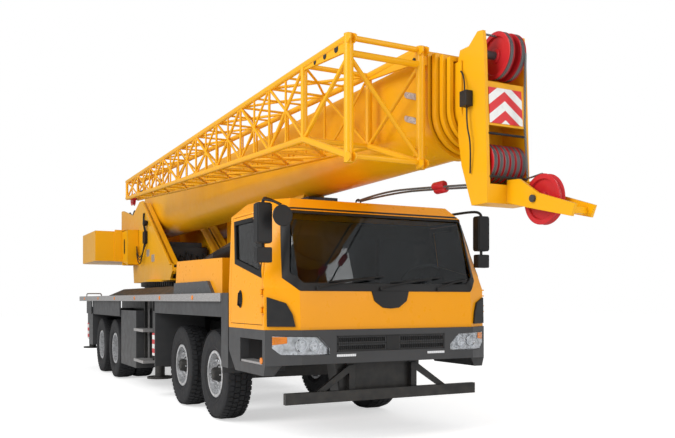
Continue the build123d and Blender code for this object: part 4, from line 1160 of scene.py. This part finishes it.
# An axle's X and Z, its sheaves' radius, width and places along Y, then the rope's radius on
# them, its half thickness and how far its two parts lie from a sheave's middle.
HEAD_AXLES = (
    (6.25, 3.53, 0.2, 0.056, (-0.06, 0.06), 0.19, 0.009, 0.008),
    (6.19, 2.63, 0.165, 0.05, (-0.15, -0.09, -0.03, 0.03, 0.09, 0.15), 0.153, 0.011, 0.011),
)
NOSE_AXLE = (6.65, 2.29)
sheaves, pins, ropes = bmesh.new(), bmesh.new(), bmesh.new()
for x, z, radius, width, places, rope_r, thick, apart in HEAD_AXLES:
    for y in places:
        grooved(sheaves, x, y, z, radius, width)
        for shift in (-apart, apart):
            rope_turn(ropes, x, y + shift, z, rope_r, thick)
    lathe(pins, [(0, -0.194), (0.034, -0.194), (0.034, 0.194), (0, 0.194)], (x, 0, z), 24)
x, z = NOSE_AXLE
grooved(sheaves, x, 0.095, z, 0.205, 0.06)
lathe(pins, [(0, -0.04), (0.03, -0.04), (0.03, 0.225), (0, 0.225)], (x, 0, z), 20)
piece(sheaves, "red_sheaves", "boom_section_5", sheave_red,
      stands_for=["head_sheaves"])
piece(pins, "sheave_pins", "boom_section_5", sheave_grey,
      stands_for=["head_sheaves"])
tube(ropes, [(6.45, 0.075, 3.52), (6.39, 0.12, 2.95), (6.38, 0.16, 2.5), (6.62, 0.1, 2.5)], 0.01, 10,
     bent=False)
tube(ropes, [(6.262, -0.21, 3.69), (6.262, 0.21, 3.69)], 0.009, 10)
piece(ropes, "head_ropes", "boom_section_5", wire_rope, crease=60)


def chevron(tree, across):
    """The height that chevrons follow: down both ways from a line 20 mm right of the middle."""
    off = node(tree, "ShaderNodeMath", (across, 0.02), operation="ADD")
    off = node(tree, "ShaderNodeMath", (off,), operation="ABSOLUTE")
    return node(tree, "ShaderNodeMath", (off, 0.75), operation="MULTIPLY")


# Chevrons 80 mm high in the same film as the outriggers' boards.
chevrons = striped("chevron_reflective_board", chevron, 6.2, "#F3F3F0", "#E0242C", 0.2)
form = bmesh.new()
plate(form, [(6.289, 3.25), (6.309, 2.95), (6.317, 2.95), (6.297, 3.25)], "Y", -0.185, 0.165)
piece(form, "head_chevron_board", "boom_section_5", chevrons, soften=0.001)

# The limit switch with its cables, a terminal box, and rods that keep the ropes in their grooves.
form = bmesh.new()
block(form, (6.05, 6.14), (-0.3, -0.226), (3.12, 3.25))
tube(form, [(6.1, -0.26, 3.12), (6.11, -0.27, 2.95), (6.16, -0.26, 2.8), (6.12, -0.24, 2.55)], 0.008)
tube(form, [(6.07, -0.26, 3.25), (6.06, -0.25, 3.4), (5.99, -0.24, 3.45)], 0.008)
block(form, (6.0, 6.05), (0.226, 0.28), (3.3, 3.38))
for z, x in ((2.5, 6.335), (2.86, 6.318)):
    tube(form, [(x, -0.2, z), (x, 0.2, z)], 0.011, 10)
piece(form, "limit_switch_and_guards", "boom_section_5", black_plastic, soften=0.003)

# Two lashed ropes run back from the head over the cab to an eye bolt on its roof, each with a
# small red overhoist weight.
form, weights = bmesh.new(), bmesh.new()
for y, back in ((0.1, 0.02), (-0.12, -0.02)):
    tube(form, [(6.1, y, 2.47), (5.2, y * 0.8, 2.56), (4.4, y * 0.6, 2.62), (3.78, back, 2.6)],
         0.011, 10)
    lathe(weights, [(0, -0.09), (0.028, -0.09), (0.036, -0.07), (0.036, 0.07), (0.028, 0.09),
                    (0, 0.09)], (5.35 - y, y * 0.82, 2.546), 20, "X")
piece(form, "lashed_hoist_ropes", "boom", wire_rope, crease=60)
piece(weights, "overhoist_weights", "boom", sheave_red)
# The bolt's ring over Y and Z, on a round foot.
EYE = ((-0.03, 2.54), (-0.035, 2.6), (0, 2.63), (0.035, 2.6), (0.03, 2.54))
form = bmesh.new()
tube(form, [(3.75, y, z) for y, z in EYE], 0.009)
lathe(form, [(0, 2.539), (0.06, 2.539), (0.058, 2.548), (0, 2.55)], (3.75, 0, 0), 24, "Z")
piece(form, "roof_eye_bolt", "carrier", chassis_black, crease=50)

# ------------------------------------------------------------------------ fly jib
# A welded lattice of round steel tube in the crane's yellow, stowed along the boom: braces
# between its main members, foot posts with pin ears, chord plates whose holes are black discs of
# painted shade, and a tip sheave.
finish(crane_yellow, "fly_jib")
# X, the inner and outer side's Y, and the bottom and top chord's height.
JIB_FOOT = (5.7, -0.46, -1.18, 2.69, 3.68)
JIB_POST = (4.82, -0.48, -1.18, 2.99, 3.68)
JIB_TIP = (-2.9, -0.96, -1.16, 3.35, 3.65)
BAYS = 9
BRACE_R, SMALL_BRACE_R = 0.014, 0.012
POST_R, SECOND_POST_R, FOOT_BAR_R, FOOT_BRACE_R = 0.042, 0.034, 0.03, 0.02
# The chord plates' holes as X and radius, and the foot pins' heights. The holes are drawn as thin
# black discs, painted shade in place of openings.
CHORD_HOLES = ((5.5, 0.036), (5.28, 0.03), (5.08, 0.024))
FOOT_PIN_Z = (2.8, 3.6)


def station(share):
    """The jib's four chord points a share of the way from its second post to its tip."""
    x, y_in, y_out, low, high = (a + (b - a) * share for a, b in zip(JIB_POST, JIB_TIP))
    return [Vector(spot) for spot in ((x, y_in, low), (x, y_out, low), (x, y_out, high),
                                      (x, y_in, high))]


form = bmesh.new()
for index in range(BAYS):
    near, half, far = (station((index + part) / BAYS) for part in (0, 0.5, 1))
    for corner in range(4):
        turn = (corner + 1) % 4
        start, end = (corner, turn) if index % 2 else (turn, corner)
        crossing = near[start].lerp(far[end], 0.5)
        tube(form, [near[end], crossing], BRACE_R)
        tube(form, [crossing, far[start]], BRACE_R)
        tube(form, [half[corner], half[turn]], SMALL_BRACE_R)
        if index:
            tube(form, [near[corner], near[turn]], BRACE_R)
x, y_in, y_out, low, high = JIB_FOOT
for y in (y_in, y_out):
    tube(form, [(x, y, low - 0.06), (x, y, high + 0.03)], POST_R, 16)
    for z in (low - 0.055, high - 0.055):
        ear = [(x, z), (x + 0.05, z), (x + 0.085, z + 0.02), (x + 0.085, z + 0.06),
               (x + 0.05, z + 0.08), (x, z + 0.08)]
        for shift in (-0.034, 0.02):
            plate(form, ear, "Y", y + shift, y + shift + 0.014)
tube(form, [(x, y_in, high - 0.13), (x, y_out, high - 0.13)], FOOT_BAR_R, 12)
tube(form, [(x, y_out, high - 0.15), (x, y_in, low + 0.02)], FOOT_BRACE_R, 12)
post_x, post_in, post_out, post_low, _ = JIB_POST
for y in (post_in, post_out):
    tube(form, [(post_x, y, post_low), (post_x, y, high)], SECOND_POST_R, 12)
    chord = [(4.8, high - 0.045), (x, high - 0.115), (x, high + 0.03), (4.8, high + 0.03)]
    plate(form, chord, "Y", y - 0.012, y + 0.012)
    tube(form, [(x, y, high - 0.15), (post_x, y, post_low)], FOOT_BRACE_R, 12)
piece(form, "jib_braces_and_foot", "boom", crane_yellow, crease=45)

# Thin black discs on the chord plates are painted shade where the holes lie; black pins stand in the
# foot.
form = bmesh.new()
for y, side in ((post_out - 0.014, -1), (post_in + 0.014, 1)):
    for hole_x, hole_r in CHORD_HOLES:
        lathe(form, [(0, 0.0), (hole_r, 0.0), (hole_r, side * 0.0015), (0, side * 0.0015)],
              (hole_x, y, high - 0.04), 20)
for z in FOOT_PIN_Z:
    lathe(form, [(0, -0.5), (0.022, -0.5), (0.022, -0.38), (0, -0.38)], (5.65, 0, z), 12)
piece(form, "jib_painted_hole_shade_and_pins", "boom", chassis_black)

form = bmesh.new()
x, y_in, y_out, low, _ = JIB_TIP
grooved(form, x + 0.06, (y_in + y_out) / 2, low - 0.02, 0.12, 0.05)
piece(form, "jib_tip_sheave", "boom", sheave_red)
form = bmesh.new()
block(form, (x - 0.02, x + 0.25), (y_in + 0.02, y_in + 0.03), (low + 0.02, low + 0.14))
piece(form, "jib_tip_plate", "boom", chassis_black, soften=0.002)

# -------------------------------------------------------------------------- studio
# A pale seamless floor under plain soft light, and the camera low at the machine's front
# right corner.

# Matt off-white paint, lit a little to the eye alone so that it runs into the white behind.
floor_paint, tree, _ = blank_material("pale_studio_floor")
seen = node(tree, "ShaderNodeLightPath").outputs["Is Camera Ray"]
matt = node(tree, "ShaderNodeBsdfDiffuse", {"Color": "#F2F2F2"})
lifted = node(tree, "ShaderNodeEmission", {"Color": "#FFFFFF", "Strength": 0.55})
both = node(tree, "ShaderNodeAddShader", (matt, lifted))
node(tree, "ShaderNodeOutputMaterial", {
    "Surface": node(tree, "ShaderNodeMixShader", (seen, matt, both))})
form = bmesh.new()
block(form, (-60, 60), (-60, 60), (-0.06, -0.005))
floor = object_from("floor", form)
floor.data.materials.append(floor_paint)

# White to the eye and through glass, softer in reflections and on the object.
world = bpy.data.worlds.new("soft_studio")
bpy.context.scene.world = world
world.use_nodes = True
tree = world.node_tree
tree.nodes.clear()
path = node(tree, "ShaderNodeLightPath").outputs
direct = node(tree, "ShaderNodeMath", (path["Is Camera Ray"], path["Is Transmission Ray"]),
              operation="MAXIMUM")
soft = node(tree, "ShaderNodeMapRange", (path["Is Glossy Ray"], 0.0, 1.0, 0.55, 0.4))
strength = node(tree, "ShaderNodeMix", {0: direct, 2: soft, 3: 1.0}, data_type="FLOAT")
node(tree, "ShaderNodeOutputWorld", {"Surface": node(tree, "ShaderNodeBackground", {
    "Color": "#FFFFFF", "Strength": strength})})


def softbox(name, at, toward, size, power):
    """A large square lamp facing a point."""
    lamp = bpy.data.lights.new(name, "AREA")
    lamp.shape, lamp.size, lamp.energy = "SQUARE", size, power
    made = bpy.data.objects.new(name, lamp)
    bpy.context.scene.collection.objects.link(made)
    made.location = at
    made.rotation_euler = (Vector(toward) - Vector(at)).to_track_quat("-Z", "Y").to_euler()


softbox("key", (5.0, -13.0, 9.0), (0.5, 0.0, 1.5), 9.0, 1350)
softbox("front", (16.0, 3.0, 6.0), (3.0, 0.0, 1.8), 7.0, 420)

lens = bpy.data.cameras.new("camera")
lens.lens, lens.sensor_width = 40.6, 36.0
lens.shift_x, lens.shift_y = 0.0, 0.120
lens.clip_start, lens.clip_end = 0.1, 200.0
camera = bpy.data.objects.new("camera", lens)
bpy.context.scene.collection.objects.link(camera)
camera.location = (11.306, -4.215, 1.48)
camera.rotation_euler = Vector((-0.886, 0.463, 0.0)).to_track_quat("-Z", "Y").to_euler()
bpy.context.scene.camera = camera
bpy.context.scene.view_settings.view_transform = "Standard"
